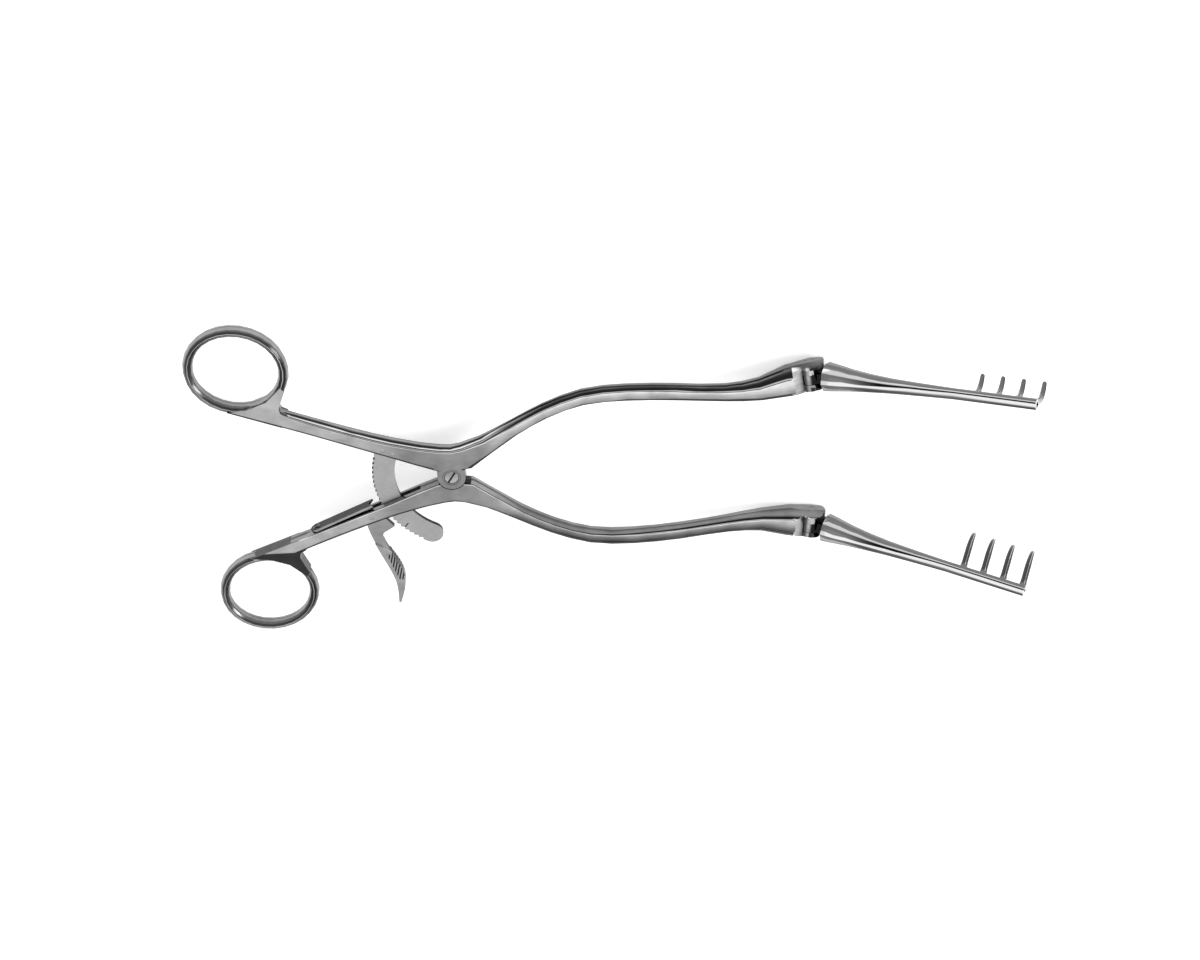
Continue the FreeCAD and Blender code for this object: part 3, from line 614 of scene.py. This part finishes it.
class SteelNodes:
    """The nodes of one steel material while it is being made.

    Attributes:
        flat_turn: Turns to the front or back over which a face starts to count as flat.
    """

    flat_turn: Span = (0.984, 0.992)

    def __init__(self, finish: SteelFinish, groups: EffectGroups) -> None:
        """Place the shader, the coordinates and the grain.

        Args:
            finish: The finish to make.
            groups: The shared effects.
        """
        self.finish = finish
        self.groups = groups
        self.material = bpy.data.materials.new(finish.name)
        self.material.use_nodes = True
        self.sketch = NodeSketch(self.material.node_tree)
        self.shader = self.material.node_tree.nodes["Principled BSDF"]
        self.shader.inputs["Metallic"].default_value = 1.0
        where = self.sketch.add("ShaderNodeTexCoord")
        self.whole_place = where.outputs["Object"]
        self.whole_normal = where.outputs["Normal"]
        self.place = self.sketch.parts(self.whole_place)
        self.normal = self.sketch.parts(self.whole_normal)
        grain = self.group(groups.grain, Fineness=finish.fineness, Run=finish.run)
        self.grain = grain.outputs["Grain"]
        self.cloud = grain.outputs["Cloud"]

    def group(self, tree: bpy.types.NodeTree, **values: Number) -> bpy.types.Node:
        """Place a shared effect with its own values.

        Args:
            tree: The effect's group.
            **values: Its inputs by name.

        Returns:
            The group node.
        """
        node = self.sketch.add("ShaderNodeGroup", node_tree=tree)
        for name, value in values.items():
            self.sketch.feed(node.inputs[name], value)
        return node

    def banded(self, tree: bpy.types.NodeTree, normal: Sequence[Socket]) -> Socket:
        """Return the painted reflection tone that a group of bands gives for a normal's three
        parts.
        """
        node = self.group(tree, Along=normal[0], Across=normal[1], Front=normal[2])
        return node.outputs["Tone"]

    def flat_mask(self) -> Socket:
        """Return a mask that is 1 on the front and back faces."""
        return self.sketch.ramp(self.sketch.calc("ABSOLUTE", self.normal[2]), *self.flat_turn)

    def both(self, *masks: Socket) -> Socket:
        """Return the mask that is 1 only where all the given ones are."""
        whole = masks[0]
        for mask in masks[1:]:
            whole = self.sketch.calc("MULTIPLY", whole, mask)
        return whole

    def lacking(self, mask: Socket) -> Socket:
        """Return the mask that is 1 where the given one is 0."""
        return self.sketch.calc("SUBTRACT", 1.0, mask)

    def round_pivot(self, span: Span) -> Socket:
        """Return a mask that is 1 around the pivot's axis and 0 past a span of radii."""
        sketch = self.sketch
        squares = [sketch.calc("MULTIPLY", self.place[k], self.place[k]) for k in (0, 1)]
        away = sketch.calc("SQRT", sketch.calc("ADD", *squares))
        return self.lacking(sketch.step(away, span))

    def finished(self, tone: Socket, flat: Number) -> bpy.types.Material:
        """Lay the tone and roughness on the shader, broken up by the finishing marks.

        Args:
            tone: Brightness of the steel.
            flat: Mask of the front and back faces.

        Returns:
            The finished material.
        """
        sketch = self.sketch
        finish = self.finish
        marks = sketch.calc("MULTIPLY", sketch.calc("SUBTRACT", self.grain, 0.5), finish.grain)
        patches = sketch.calc("MULTIPLY", sketch.calc("SUBTRACT", self.cloud, 0.5), finish.cloud)
        broken = sketch.calc("ADD", 1.0, sketch.calc("ADD", marks, patches))
        sketch.feed(self.shader.inputs["Base Color"],
                    sketch.grey(sketch.calc("MULTIPLY", tone, broken, clamp=True)))
        rough = sketch.fade(flat, finish.side_rough, finish.face_rough)
        sketch.feed(self.shader.inputs["Roughness"],
                    sketch.calc("ADD", rough, sketch.calc("MULTIPLY", marks, finish.mark_rough)))
        bump = sketch.add("ShaderNodeBump")
        bump.inputs["Strength"].default_value = finish.relief
        bump.inputs["Distance"].default_value = finish.relief_reach
        sketch.feed(bump.inputs["Height"], self.grain)
        sketch.feed(self.shader.inputs["Normal"], bump.outputs[0])
        return self.material


@dataclass(frozen=True)
class HingePlace:
    """Where a blade's hinge frame lies.

    Attributes:
        spot: Middle of the hinge pin.
        splay: Turn of the blade from the X axis seen from the front, in radians.
        fold: Turn of the blade towards the front, in radians.
    """

    spot: Spot
    splay: float
    fold: float

    def unfolded(self) -> "HingePlace":
        """Return the same hinge with its blade in line with the arm."""
        return replace(self, fold=0.0)

    def turned(self, nodes: SteelNodes, vector: Socket, moved: bool) -> Sequence[Socket]:
        """Return the parts of a place or a normal along, across and in front of the blade.

        Args:
            nodes: The material's nodes.
            vector: The place or normal in the part's frame.
            moved: Whether it is a place, which is taken from the hinge pin.

        Returns:
            The three parts.
        """
        sketch = nodes.sketch
        if moved:
            shift = sketch.add("ShaderNodeVectorMath", operation="SUBTRACT")
            sketch.feed(shift.inputs[0], vector)
            shift.inputs[1].default_value = self.spot
            vector = shift.outputs[0]
        unsplayed = sketch.add("ShaderNodeVectorRotate", rotation_type="Z_AXIS")
        sketch.feed(unsplayed.inputs["Vector"], vector)
        unsplayed.inputs["Angle"].default_value = -self.splay
        unfolded = sketch.add("ShaderNodeVectorRotate", rotation_type="Y_AXIS")
        sketch.feed(unfolded.inputs["Vector"], unsplayed.outputs[0])
        unfolded.inputs["Angle"].default_value = self.fold
        return sketch.parts(unfolded.outputs[0])


def blade_hinge(side: int) -> HingePlace:
    """Return where a blade's hinge lies; side is 1 for the left one and -1 for the right one."""
    along, over, up = HINGE_SPOT
    return HingePlace((along * MM, side * over * MM, up * MM),
                      side * math.radians(HINGE_SPLAY), math.radians(HINGE_FOLD))


class FinishesAndPaintedLight:
    """The steels of the instrument, from satin forgings to polished blades, with painted
    reflections, highlights and shade in their colours.
    """

    def __init__(self) -> None:
        """Make every material."""
        self.groups = EffectGroups()
        left, right = blade_hinge(1), blade_hinge(-1)
        # The right half's arm front gets a darker copy of the painted shading than the left
        # one's.
        self.left_forging = self.forging(
            ForgingLook("left_forging", LEFT_EDGE, arm_face_shading=(0.42, 0.86)), left)
        self.right_forging = self.forging(
            ForgingLook("right_forging", RIGHT_EDGE, arm_face_shading=(0.14, 0.62)), right)
        self.screw = self.slotted_head(ScrewLook())
        self.plain = self.simple(SteelFinish("satin_parts", face=0.46))
        self.rack = self.ground_bar(ScoreLook())
        self.lever = self.grooved_lever(GripLook())
        self.leaf = self.simple(SteelFinish("polished_leaf", face=0.40, side_tint=0.8,
                                            face_rough=0.2))
        # The blades are lit and shaded copies: the right one has darker painted prongs with a
        # painted highlight line.
        self.left_blade = self.blade(
            BladeLook("left_blade_steel", prong_reflection_tone=0.10, prong_lit=False), left)
        self.right_blade = self.blade(
            BladeLook("right_blade_steel", prong_reflection_tone=0.05, prong_lit=True), right)

    def forging(self, look: ForgingLook, hinge: HingePlace) -> bpy.types.Material:
        """Return the steel of one forged half: satin at the joint, polished along the arm, with
        painted reflections and shade.

        Args:
            look: The half's look.
            hinge: Place of its blade hinge.

        Returns:
            The material.
        """
        nodes = SteelNodes(SteelFinish(look.name), self.groups)
        sketch = nodes.sketch
        along, _, up = nodes.place
        arm = sketch.step(along, look.arm_start)
        flat = nodes.flat_mask()
        # Painted reflection bands on the walls, from the shank's to the arm's, softened on the
        # ring.
        walls = sketch.fade(arm, nodes.banded(self.groups.shank_painted_reflections, nodes.normal),
                            nodes.banded(self.groups.arm_painted_reflections, nodes.normal))
        ring = nodes.lacking(sketch.step(along, look.ring_end))
        share = sketch.calc("MULTIPLY", ring, look.ring_share)
        walls = sketch.fade(share, walls, look.ring_tone)
        tone = sketch.fade(flat, walls, self.forged_face(nodes, look, arm))
        from_pin = hinge.unfolded().turned(nodes, nodes.whole_place, True)
        # Painted reflection bands and painted shade over the hinge's walls, in place of their
        # other tones.
        painted_hinge_zone = nodes.both(
            sketch.step(from_pin[0], look.hinge_start), nodes.lacking(flat),
            nodes.lacking(sketch.step(sketch.calc("ABSOLUTE", from_pin[1]), look.hinge_side)),
            sketch.step(up, look.hinge_height))
        tone = sketch.fade(painted_hinge_zone, tone, self.painted_hinge_light(sketch, from_pin[0]))
        sunk = nodes.lacking(sketch.step(up, look.lap_height))
        # Painted shade: the sunk faces of the lap joint around the boss are darkened almost to
        # black.
        gap = nodes.both(nodes.round_pivot(look.gap_end), sunk)
        tone = sketch.fade(gap, tone, look.gap_shade_tone)
        boss = look.boss
        if hinge.splay > 0:
            line = nodes.both(nodes.round_pivot(boss.line_end), flat,
                              nodes.lacking(nodes.round_pivot(boss.line_start)))
            tone = sketch.fade(line, tone, boss.line_tone)
        else:
            # Painted shade in the pocket beside the back boss.
            pocket = nodes.both(nodes.round_pivot(boss.pocket_end), sunk,
                                sketch.step(along, boss.pocket_start))
            tone = sketch.fade(pocket, tone, boss.pocket_shade_tone)
        return nodes.finished(tone, flat)

    @staticmethod
    def forged_face(nodes: SteelNodes, look: ForgingLook, arm: Socket) -> Socket:
        """Return the tone of a half's front face, which changes where the arm's mask is 1, with
        painted shade that darkens it towards its -Y edge.
        """
        sketch = nodes.sketch
        along, over, _ = nodes.place
        aside = sketch.calc("ABSOLUTE", sketch.calc("SUBTRACT", along, look.joint_x * MM))
        joint = nodes.lacking(sketch.step(aside, look.joint_reach))
        low = look.edge.drawn(sketch, sketch.calc("DIVIDE", along, MM))
        above = sketch.calc("SUBTRACT", sketch.calc("DIVIDE", over, MM), low)
        arm_tone = sketch.fade(sketch.ramp(above, *look.arm_rise), *look.arm_face_shading)
        face = sketch.fade(arm, sketch.fade(joint, look.shank_tone, look.joint_tone), arm_tone)
        # Painted shade: a dark rim along the front's -Y edge.
        return sketch.fade(sketch.ramp(above, *look.rim_end), look.rim_shade_tone, face)

    @staticmethod
    def painted_hinge_light(sketch: NodeSketch, along: Socket) -> Socket:
        """Return the painted reflections and shade over a blade hinge at a distance along the arm
        from its pin.
        """
        return HINGE_PAINTED_LIGHT.drawn(sketch, sketch.calc("DIVIDE", along, MM))

    def based(self, nodes: SteelNodes, flat: Socket, face: Number) -> Socket:
        """Return the painted reflection tone of banded walls, with the given tone where the flat
        mask is 1.
        """
        sketch = nodes.sketch
        walls = sketch.calc("MULTIPLY", nodes.banded(self.groups.shank_painted_reflections, nodes.normal),
                            nodes.finish.side_tint)
        return sketch.fade(flat, walls, face)

    def simple(self, finish: SteelFinish) -> bpy.types.Material:
        """Return a steel that is toned only by the way that a surface faces: painted reflection
        bands on its walls.
        """
        nodes = SteelNodes(finish, self.groups)
        flat = nodes.flat_mask()
        return nodes.finished(self.based(nodes, flat, finish.face), flat)

    def ground_bar(self, look: ScoreLook) -> bpy.types.Material:
        """Return the fine ground steel of the ratchet bar, dark in its score."""
        finish = SteelFinish("ground_rack", face=0.50, side_tint=0.3, face_rough=0.42,
                             fineness=1800.0, cloud=0.30)
        nodes = SteelNodes(finish, self.groups)
        sketch = nodes.sketch
        flat = nodes.flat_mask()
        score = nodes.both(sketch.step(nodes.place[2], look.floor),
                           nodes.lacking(sketch.step(nodes.place[2], look.top)))
        tone = sketch.fade(score, self.based(nodes, flat, finish.face), look.tone)
        return nodes.finished(tone, flat)

    def grooved_lever(self, look: GripLook) -> bpy.types.Material:
        """Return the satin steel of the release lever, with dark grooves across the grip."""
        finish = SteelFinish("satin_lever", face=0.42, side_tint=0.5)
        nodes = SteelNodes(finish, self.groups)
        sketch = nodes.sketch
        _, over, up = nodes.place
        flat = nodes.flat_mask()
        neck = nodes.both(sketch.step(up, look.neck_height), sketch.step(over, look.neck_end))
        tone = self.based(nodes, sketch.calc("MAXIMUM", flat, neck), finish.face)
        beside = self.slanted(nodes, look.side_way, look.side_spot)
        strip = nodes.both(sketch.ramp(beside, *look.side_reach), sketch.step(over, look.tip),
                           nodes.lacking(sketch.step(over, look.root)))
        turn = sketch.calc("MULTIPLY", self.slanted(nodes, look.groove_way, (0.0, 0.0)),
                           2 * math.pi / look.groove_pitch)
        groove = nodes.both(strip, sketch.ramp(sketch.calc("SINE", turn), *look.groove_rise),
                            flat)
        return nodes.finished(sketch.fade(groove, tone, look.groove_tone), flat)

    @staticmethod
    def slanted(nodes: SteelNodes, way: Span, spot: Span) -> Socket:
        """Return the distance from a spot along a direction of the XY plane, in millimetres."""
        sketch = nodes.sketch
        reached = sketch.calc("ADD", sketch.calc("MULTIPLY", nodes.place[0], way[0]),
                              sketch.calc("MULTIPLY", nodes.place[1], way[1]))
        return sketch.calc("SUBTRACT", sketch.calc("DIVIDE", reached, MM),
                           way[0] * spot[0] + way[1] * spot[1])

    def slotted_head(self, look: ScrewLook) -> bpy.types.Material:
        """Return the steel of the pivot screw: a head with painted shading graded across it, and
        painted shade in its slot.
        """
        nodes = SteelNodes(SteelFinish("screw_steel", face_rough=0.28), self.groups)
        sketch = nodes.sketch
        flat = nodes.flat_mask()
        # Painted shading graded across the head, and painted shade in the slot.
        head = sketch.fade(sketch.step(nodes.place[1], look.head), *look.head_shading_tones)
        sunk = nodes.lacking(sketch.step(nodes.place[2], look.slot))
        tone = sketch.fade(sunk, self.based(nodes, flat, head), look.slot_shade_tone)
        return nodes.finished(tone, flat)

    def blade(self, look: BladeLook, hinge: HingePlace) -> bpy.types.Material:
        """Return the polished steel of a blade, with painted reflection bands along its length,
        painted light on its base and darker painted prongs.

        Args:
            look: The blade's look.
            hinge: Place of its hinge.

        Returns:
            The material.
        """
        finish = SteelFinish(look.name, side_rough=0.16, face_rough=0.16, grain=0.06,
                             cloud=0.08, relief=0.0)
        nodes = SteelNodes(finish, self.groups)
        sketch = nodes.sketch
        place = hinge.turned(nodes, nodes.whole_place, True)
        normal = hinge.turned(nodes, nodes.whole_normal, False)
        # Painted light on the front of the base, over the painted reflection bands.
        base = nodes.lacking(sketch.step(place[0], look.base_end))
        lifted = nodes.both(sketch.calc("MULTIPLY", base, look.base_tone),
                            sketch.ramp(normal[2], *look.base_turn))
        tone = sketch.calc("MAXIMUM", nodes.banded(self.groups.blade_painted_reflections, normal), lifted)
        end = sketch.ramp(normal[0], *look.end_turn)
        tone = sketch.fade(end, tone, look.end_tone)
        back = sketch.calc("ADD", sketch.calc("MULTIPLY", place[0], look.back_slope),
                           look.back_start * MM)
        prong = nodes.both(sketch.step(sketch.calc("SUBTRACT", back, place[2]), look.prong_root),
                           sketch.step(place[0], look.rake_start))
        tone = sketch.fade(prong, tone, self.shaft_tone(nodes, look, normal[0]))
        # The part between the fork's ears takes the hinge's painted reflections and shade.
        hidden = nodes.lacking(sketch.step(place[0], look.hidden_end))
        from_pin = hinge.unfolded().turned(nodes, nodes.whole_place, True)
        tone = sketch.fade(hidden, tone, self.painted_hinge_light(sketch, from_pin[0]))
        # Painted shade on the base's end face, which looks into the gap behind it.
        back_end = sketch.ramp(sketch.calc("MULTIPLY", normal[0], -1.0), *look.end_turn)
        behind = nodes.both(back_end, nodes.lacking(prong), nodes.lacking(hidden))
        return nodes.finished(sketch.fade(behind, tone, look.behind_shade_tone), end)

    @staticmethod
    def shaft_tone(nodes: SteelNodes, look: BladeLook, along: Socket) -> Socket:
        """Return the painted tone of the prongs, with a painted dark outline of shade and a
        painted highlight line, from the part of the normal along the blade.
        """
        sketch = nodes.sketch
        rim = sketch.ramp(sketch.calc("ABSOLUTE", along), *look.rim_turn)
        shaft = sketch.fade(rim, look.prong_reflection_tone, look.rim_shade_tone)
        if look.prong_lit:
            lit = nodes.both(sketch.ramp(along, *look.lit_start),
                             nodes.lacking(sketch.ramp(along, *look.lit_end)))
            shaft = sketch.fade(lit, shaft, look.lit_tone)
        return shaft


def deselect_all() -> None:
    """Deselect every object."""
    for other in bpy.context.scene.objects:
        other.select_set(False)


def select_only(obj: bpy.types.Object) -> None:
    """Deselect all, then select one object and make it active."""
    deselect_all()
    obj.select_set(True)
    bpy.context.view_layer.objects.active = obj


def apply_modifier(obj: bpy.types.Object, kind: str, **settings: object) -> None:
    """Add one modifier to an object, set it and apply it.

    Args:
        obj: The object.
        kind: The modifier's type.
        **settings: Its properties.
    """
    modifier = obj.modifiers.new(kind.lower(), kind)
    for name, value in settings.items():
        setattr(modifier, name, value)
    select_only(obj)
    bpy.ops.object.modifier_apply(modifier=modifier.name)


@dataclass(frozen=True)
class Dressing:
    """How a solid's copy is cleaned and its edges are broken.

    Attributes:
        break_width: Width of the broken edges.
        break_angle: Smallest turn between faces that gets a broken edge, in degrees.
        smooth_angle: Largest turn that is shaded smooth, in degrees.
        weighted: Whether wide faces are kept flat up to their edges.
        break_steps: Faces across a broken edge.
        merge_within: Distance within which corners are joined.
        level_within: Largest turn between faces that are joined into one, in degrees.
    """

    break_width: float
    break_angle: float
    smooth_angle: float
    weighted: bool = True
    break_steps: int = 2
    merge_within: float = 0.004 * MM
    level_within: float = 0.4

    def copy_of(self, node: bpy.types.Object, name: str) -> bpy.types.Object:
        """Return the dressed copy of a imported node.

        Args:
            node: The node's object.
            name: Name of the copy.

        Returns:
            The new object.
        """
        mesh = node.data.copy()
        mesh.materials.clear()
        piece = bpy.data.objects.new(name, mesh)
        bpy.context.scene.collection.objects.link(piece)
        select_only(piece)
        bpy.ops.mesh.customdata_custom_splitnormals_clear()
        bpy.ops.object.mode_set(mode="EDIT")
        bpy.ops.mesh.select_all(action="SELECT")
        bpy.ops.mesh.remove_doubles(threshold=self.merge_within)
        bpy.ops.mesh.dissolve_limited(angle_limit=math.radians(self.level_within))
        bpy.ops.object.mode_set(mode="OBJECT")
        apply_modifier(piece, "BEVEL", width=self.break_width, segments=self.break_steps,
                       limit_method="ANGLE", angle_limit=math.radians(self.break_angle),
                       use_clamp_overlap=True)
        return piece

    def smooth(self, piece: bpy.types.Object) -> None:
        """Shade a finished copy smooth over small turns."""
        select_only(piece)
        bpy.ops.object.shade_smooth_by_angle(angle=math.radians(self.smooth_angle))
        if self.weighted:
            apply_modifier(piece, "WEIGHTED_NORMAL", keep_sharp=True)


class Piece:
    """One dressed piece of the instrument."""

    def __init__(self, frame: dict, node: str, dressing: Dressing) -> None:
        """Copy and clean a node.

        Args:
            node: The node's name.
            dressing: How its edges are treated.
        """
        self.node = node
        self.dressing = dressing
        self.body = frame["nodes"][node]["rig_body"]
        self.obj = dressing.copy_of(frame["nodes"][node], node + "_dressed")

    def finish(self, material: bpy.types.Material, slot: Slot) -> None:
        """Shade the piece, give it its steel and put it in place of its node.

        Args:
            material: The steel.
            slot: The record's slot; not used.
        """
        self.dressing.smooth(self.obj)
        self.obj.data.materials.append(material)
        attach(self.obj, self.body)
        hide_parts(self.node)
        LOG.info("%s: %d faces on body %s", self.obj.name, len(self.obj.data.polygons), self.body)


@dataclass
class ForgedHalves:
    """The two forgings with ring, shank, boss, arm and fork."""

    dressing: Dressing = Dressing(break_width=0.10 * MM, break_angle=55.0, smooth_angle=48.0)

    def build(self, frame: dict, finishes_and_painted_light: FinishesAndPaintedLight) -> None:
        """Dress both halves."""
        Piece(frame, "left_half", self.dressing).finish(finishes_and_painted_light.left_forging, Slot.SATIN)
        Piece(frame, "right_half", self.dressing).finish(finishes_and_painted_light.right_forging, Slot.SATIN)


@dataclass
class Fasteners:
    """The pivot screw, the pins and the leaf's screw."""

    dressing: Dressing = Dressing(break_width=0.06 * MM, break_angle=40.0, smooth_angle=35.0)

    def build(self, frame: dict, finishes_and_painted_light: FinishesAndPaintedLight) -> None:
        """Dress every fastener."""
        Piece(frame, "pivot_screw", self.dressing).finish(finishes_and_painted_light.screw, Slot.SATIN)
        for node in ("ratchet_pins", "lever_pin"):
            Piece(frame, node, self.dressing).finish(finishes_and_painted_light.plain, Slot.SATIN)
        for node in ("spring_screw", "left_hinge_pin", "right_hinge_pin"):
            Piece(frame, node, self.dressing).finish(finishes_and_painted_light.leaf, Slot.POLISHED)


@dataclass
class RatchetWork:
    """The toothed bar with its score, the release lever and the leaf spring.

    Attributes:
        dressing: How the pieces' edges are treated.
        score_middle: Middle of the score, on the bar's front.
        score_turn: Turn of the score from the X axis, in degrees.
        score_long: Length of the score.
        score_wide: Width of the score.
        score_deep: Depth of the score.
    """

    dressing: Dressing = Dressing(break_width=0.08 * MM, break_angle=40.0, smooth_angle=35.0)
    score_middle: Spot = (-19.0 * MM, -22.6 * MM, 3.8 * MM)
    score_turn: float = 50.0
    score_long: float = 3.0 * MM
    score_wide: float = 0.45 * MM
    score_deep: float = 0.2 * MM

    def build(self, frame: dict, finishes_and_painted_light: FinishesAndPaintedLight) -> None:
        """Dress the three pieces and score the bar."""
        rack = Piece(frame, "ratchet_bar", self.dressing)
        self.score(rack.obj)
        rack.finish(finishes_and_painted_light.rack, Slot.MATTE)
        Piece(frame, "release_lever", self.dressing).finish(finishes_and_painted_light.lever, Slot.SATIN)
        Piece(frame, "lever_spring", self.dressing).finish(finishes_and_painted_light.leaf, Slot.POLISHED)

    def score(self, rack: bpy.types.Object) -> None:
        """Cut the short score across the front of the bar.

        Args:
            rack: The bar's dressed copy.
        """
        deselect_all()
        bpy.ops.mesh.primitive_cube_add(size=1.0, location=self.score_middle,
                                        rotation=(0.0, 0.0, math.radians(self.score_turn)))
        cutter = bpy.context.object
        cutter.dimensions = (self.score_long, self.score_wide, 2 * self.score_deep)
        bpy.ops.object.transform_apply(location=True, rotation=True, scale=True)
        apply_modifier(rack, "BOOLEAN", object=cutter, operation="DIFFERENCE", solver="EXACT")
        bpy.data.objects.remove(cutter)


@dataclass
class Blades:
    """The two hinged blades with their rakes."""

    dressing: Dressing = Dressing(break_width=0.12 * MM, break_angle=60.0, smooth_angle=52.0,
                                  weighted=False)

    def build(self, frame: dict, finishes_and_painted_light: FinishesAndPaintedLight) -> None:
        """Dress both blades."""
        Piece(frame, "left_blade", self.dressing).finish(finishes_and_painted_light.left_blade, Slot.POLISHED)
        Piece(frame, "right_blade", self.dressing).finish(finishes_and_painted_light.right_blade, Slot.POLISHED)


@dataclass(frozen=True)
class Softbox:
    """One square lamp.

    Attributes:
        name: The lamp's name.
        place: Where it hangs.
        aim: The point that it looks at.
        side: Its side.
        tone: Its brightness, where 1 is white.
    """

    name: str
    place: Spot
    aim: Spot
    side: float
    tone: float

    def hang(self) -> None:
        """Add the lamp to the scene."""
        light = bpy.data.lights.new(self.name, "AREA")
        light.shape = "SQUARE"
        light.size = self.side
        light.energy = self.tone * math.pi * self.side * self.side
        lamp = bpy.data.objects.new(self.name, light)
        lamp.location = self.place
        away = Vector(self.place) - Vector(self.aim)
        lamp.rotation_euler = away.to_track_quat("Z", "Y").to_euler()
        bpy.context.scene.collection.objects.link(lamp)


@dataclass
class Studio:
    """A plain pale table, soft lamps and the camera at the photograph's angle.

    Attributes:
        floor_gap: Distance from the lowest point of the instrument to the table.
        floor_size: Side of the table.
        table_tone: Colour of the table.
        table_rough: Its roughness.
        table_glow: Brightness that the table has of its own where it is seen.
        room_tone: Brightness of the room.
        overhead: The wide lamp above the instrument.
        side: The small lamp beyond the blades, which gives the rings their soft shadow.
        picture: Width and height of the photograph in pixels.
        sensor: Width of the camera's sensor, in its usual millimetres.
        clip: Nearest and farthest distance that the camera sees.
        pixels_per_mm: Scale of the picture at the pivot.
        focal_pixels: The camera's focal length in pixels of the photograph.
        tilt: Turn about X from the part's frame to the camera's, in degrees.
        roll: Turn about Y, in degrees.
        turn: Turn about Z, in degrees.
        pivot_pixel: Where the pivot screw's head lies in the picture.
        pivot_height: Height of that head, in millimetres.
    """

    floor_gap: float = 0.1 * MM
    floor_size: float = 30.0
    table_tone: float = 0.90
    table_rough: float = 0.9
    table_glow: float = 0.48
    room_tone: float = 0.68
    overhead: Softbox = Softbox("overhead_softbox", (0.06, 0.0, 1.5), (0.06, 0.0, 0.0), 2.4, 0.22)
    side: Softbox = Softbox("side_softbox", (1.2, 0.05, 0.7), (0.0, 0.0, 0.0), 0.5, 14.0)
    picture: tuple[int, int] = (1200, 960)
    sensor: float = 36.0
    clip: Span = (0.05, 50.0)
    pixels_per_mm: float = 2.70
    focal_pixels: float = 2500.0
    tilt: float = 35.88
    roll: float = -0.53
    turn: float = 2.89
    pivot_pixel: tuple[float, float] = (451.6, 477.8)
    pivot_height: float = 6.0

    def build(self) -> None:
        """Make the table, the lamps, the room and the camera."""
        self.table()
        self.room()
        self.overhead.hang()
        self.side.hang()
        self.camera()

    def table(self) -> None:
        """Lay the pale table under the instrument."""
        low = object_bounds()[0]
        deselect_all()
        bpy.ops.mesh.primitive_plane_add(size=self.floor_size,
                                         location=(0.0, 0.0, low.z - self.floor_gap))
        table = bpy.context.object
        table.name = "table"
        bpy.ops.object.transform_apply(location=True, rotation=False, scale=False)
        material = bpy.data.materials.new("pale_table")
        material.use_nodes = True
        tree = material.node_tree
        shader = tree.nodes["Principled BSDF"]
        shader.inputs["Base Color"].default_value = (self.table_tone,) * 3 + (1.0,)
        shader.inputs["Roughness"].default_value = self.table_rough
        shader.inputs["Specular IOR Level"].default_value = 0.0
        shader.inputs["Emission Color"].default_value = (1.0, 1.0, 1.0, 1.0)
        sketch = NodeSketch(tree)
        rays = sketch.add("ShaderNodeLightPath").outputs
        seen = sketch.calc("ADD", rays["Is Camera Ray"], sketch.calc(
            "ADD", rays["Is Glossy Ray"], rays["Is Transmission Ray"]), clamp=True)
        sketch.feed(shader.inputs["Emission Strength"],
                    sketch.calc("MULTIPLY", seen, self.table_glow))
        table.data.materials.append(material)
        table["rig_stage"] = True

    def room(self) -> None:
        """Light the room evenly."""
        world = bpy.data.worlds.new("room")
        world.use_nodes = True
        back = world.node_tree.nodes["Background"]
        back.inputs["Color"].default_value = (1.0, 1.0, 1.0, 1.0)
        back.inputs["Strength"].default_value = self.room_tone
        bpy.context.scene.world = world
        bpy.context.scene.view_settings.view_transform = "Standard"

    def camera(self) -> None:
        """Set up the camera from the turns and the scale that match the photograph."""
        away = self.focal_pixels / self.pixels_per_mm
        turns = (Matrix.Rotation(math.radians(self.turn), 3, "Z")
                 @ Matrix.Rotation(math.radians(self.roll), 3, "Y")
                 @ Matrix.Rotation(math.radians(self.tilt), 3, "X"))
        across = (self.pivot_pixel[0] - self.picture[0] / 2) / self.pixels_per_mm
        down = (self.pivot_pixel[1] - self.picture[1] / 2) / self.pixels_per_mm
        offset = Vector((-across, down, away))
        place = (turns.transposed() @ offset + Vector((0.0, 0.0, self.pivot_height))) * MM
        data = bpy.data.cameras.new("photo_camera")
        data.sensor_width = self.sensor
        data.lens = self.focal_pixels / self.picture[0] * self.sensor
        data.clip_start, data.clip_end = self.clip
        camera = bpy.data.objects.new("photo_camera", data)
        camera.matrix_world = Matrix.Translation(place) @ turns.transposed().to_4x4()
        bpy.context.scene.collection.objects.link(camera)
        bpy.context.scene.camera = camera


def main() -> None:
    """Dress every piece in order, then set up the studio."""
    logging.basicConfig(level=logging.INFO, format="%(message)s")
    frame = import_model()
    finishes_and_painted_light = FinishesAndPaintedLight()
    ForgedHalves().build(frame, finishes_and_painted_light)
    Fasteners().build(frame, finishes_and_painted_light)
    RatchetWork().build(frame, finishes_and_painted_light)
    Blades().build(frame, finishes_and_painted_light)
    Studio().build()


if __name__ == "__main__":
    main()
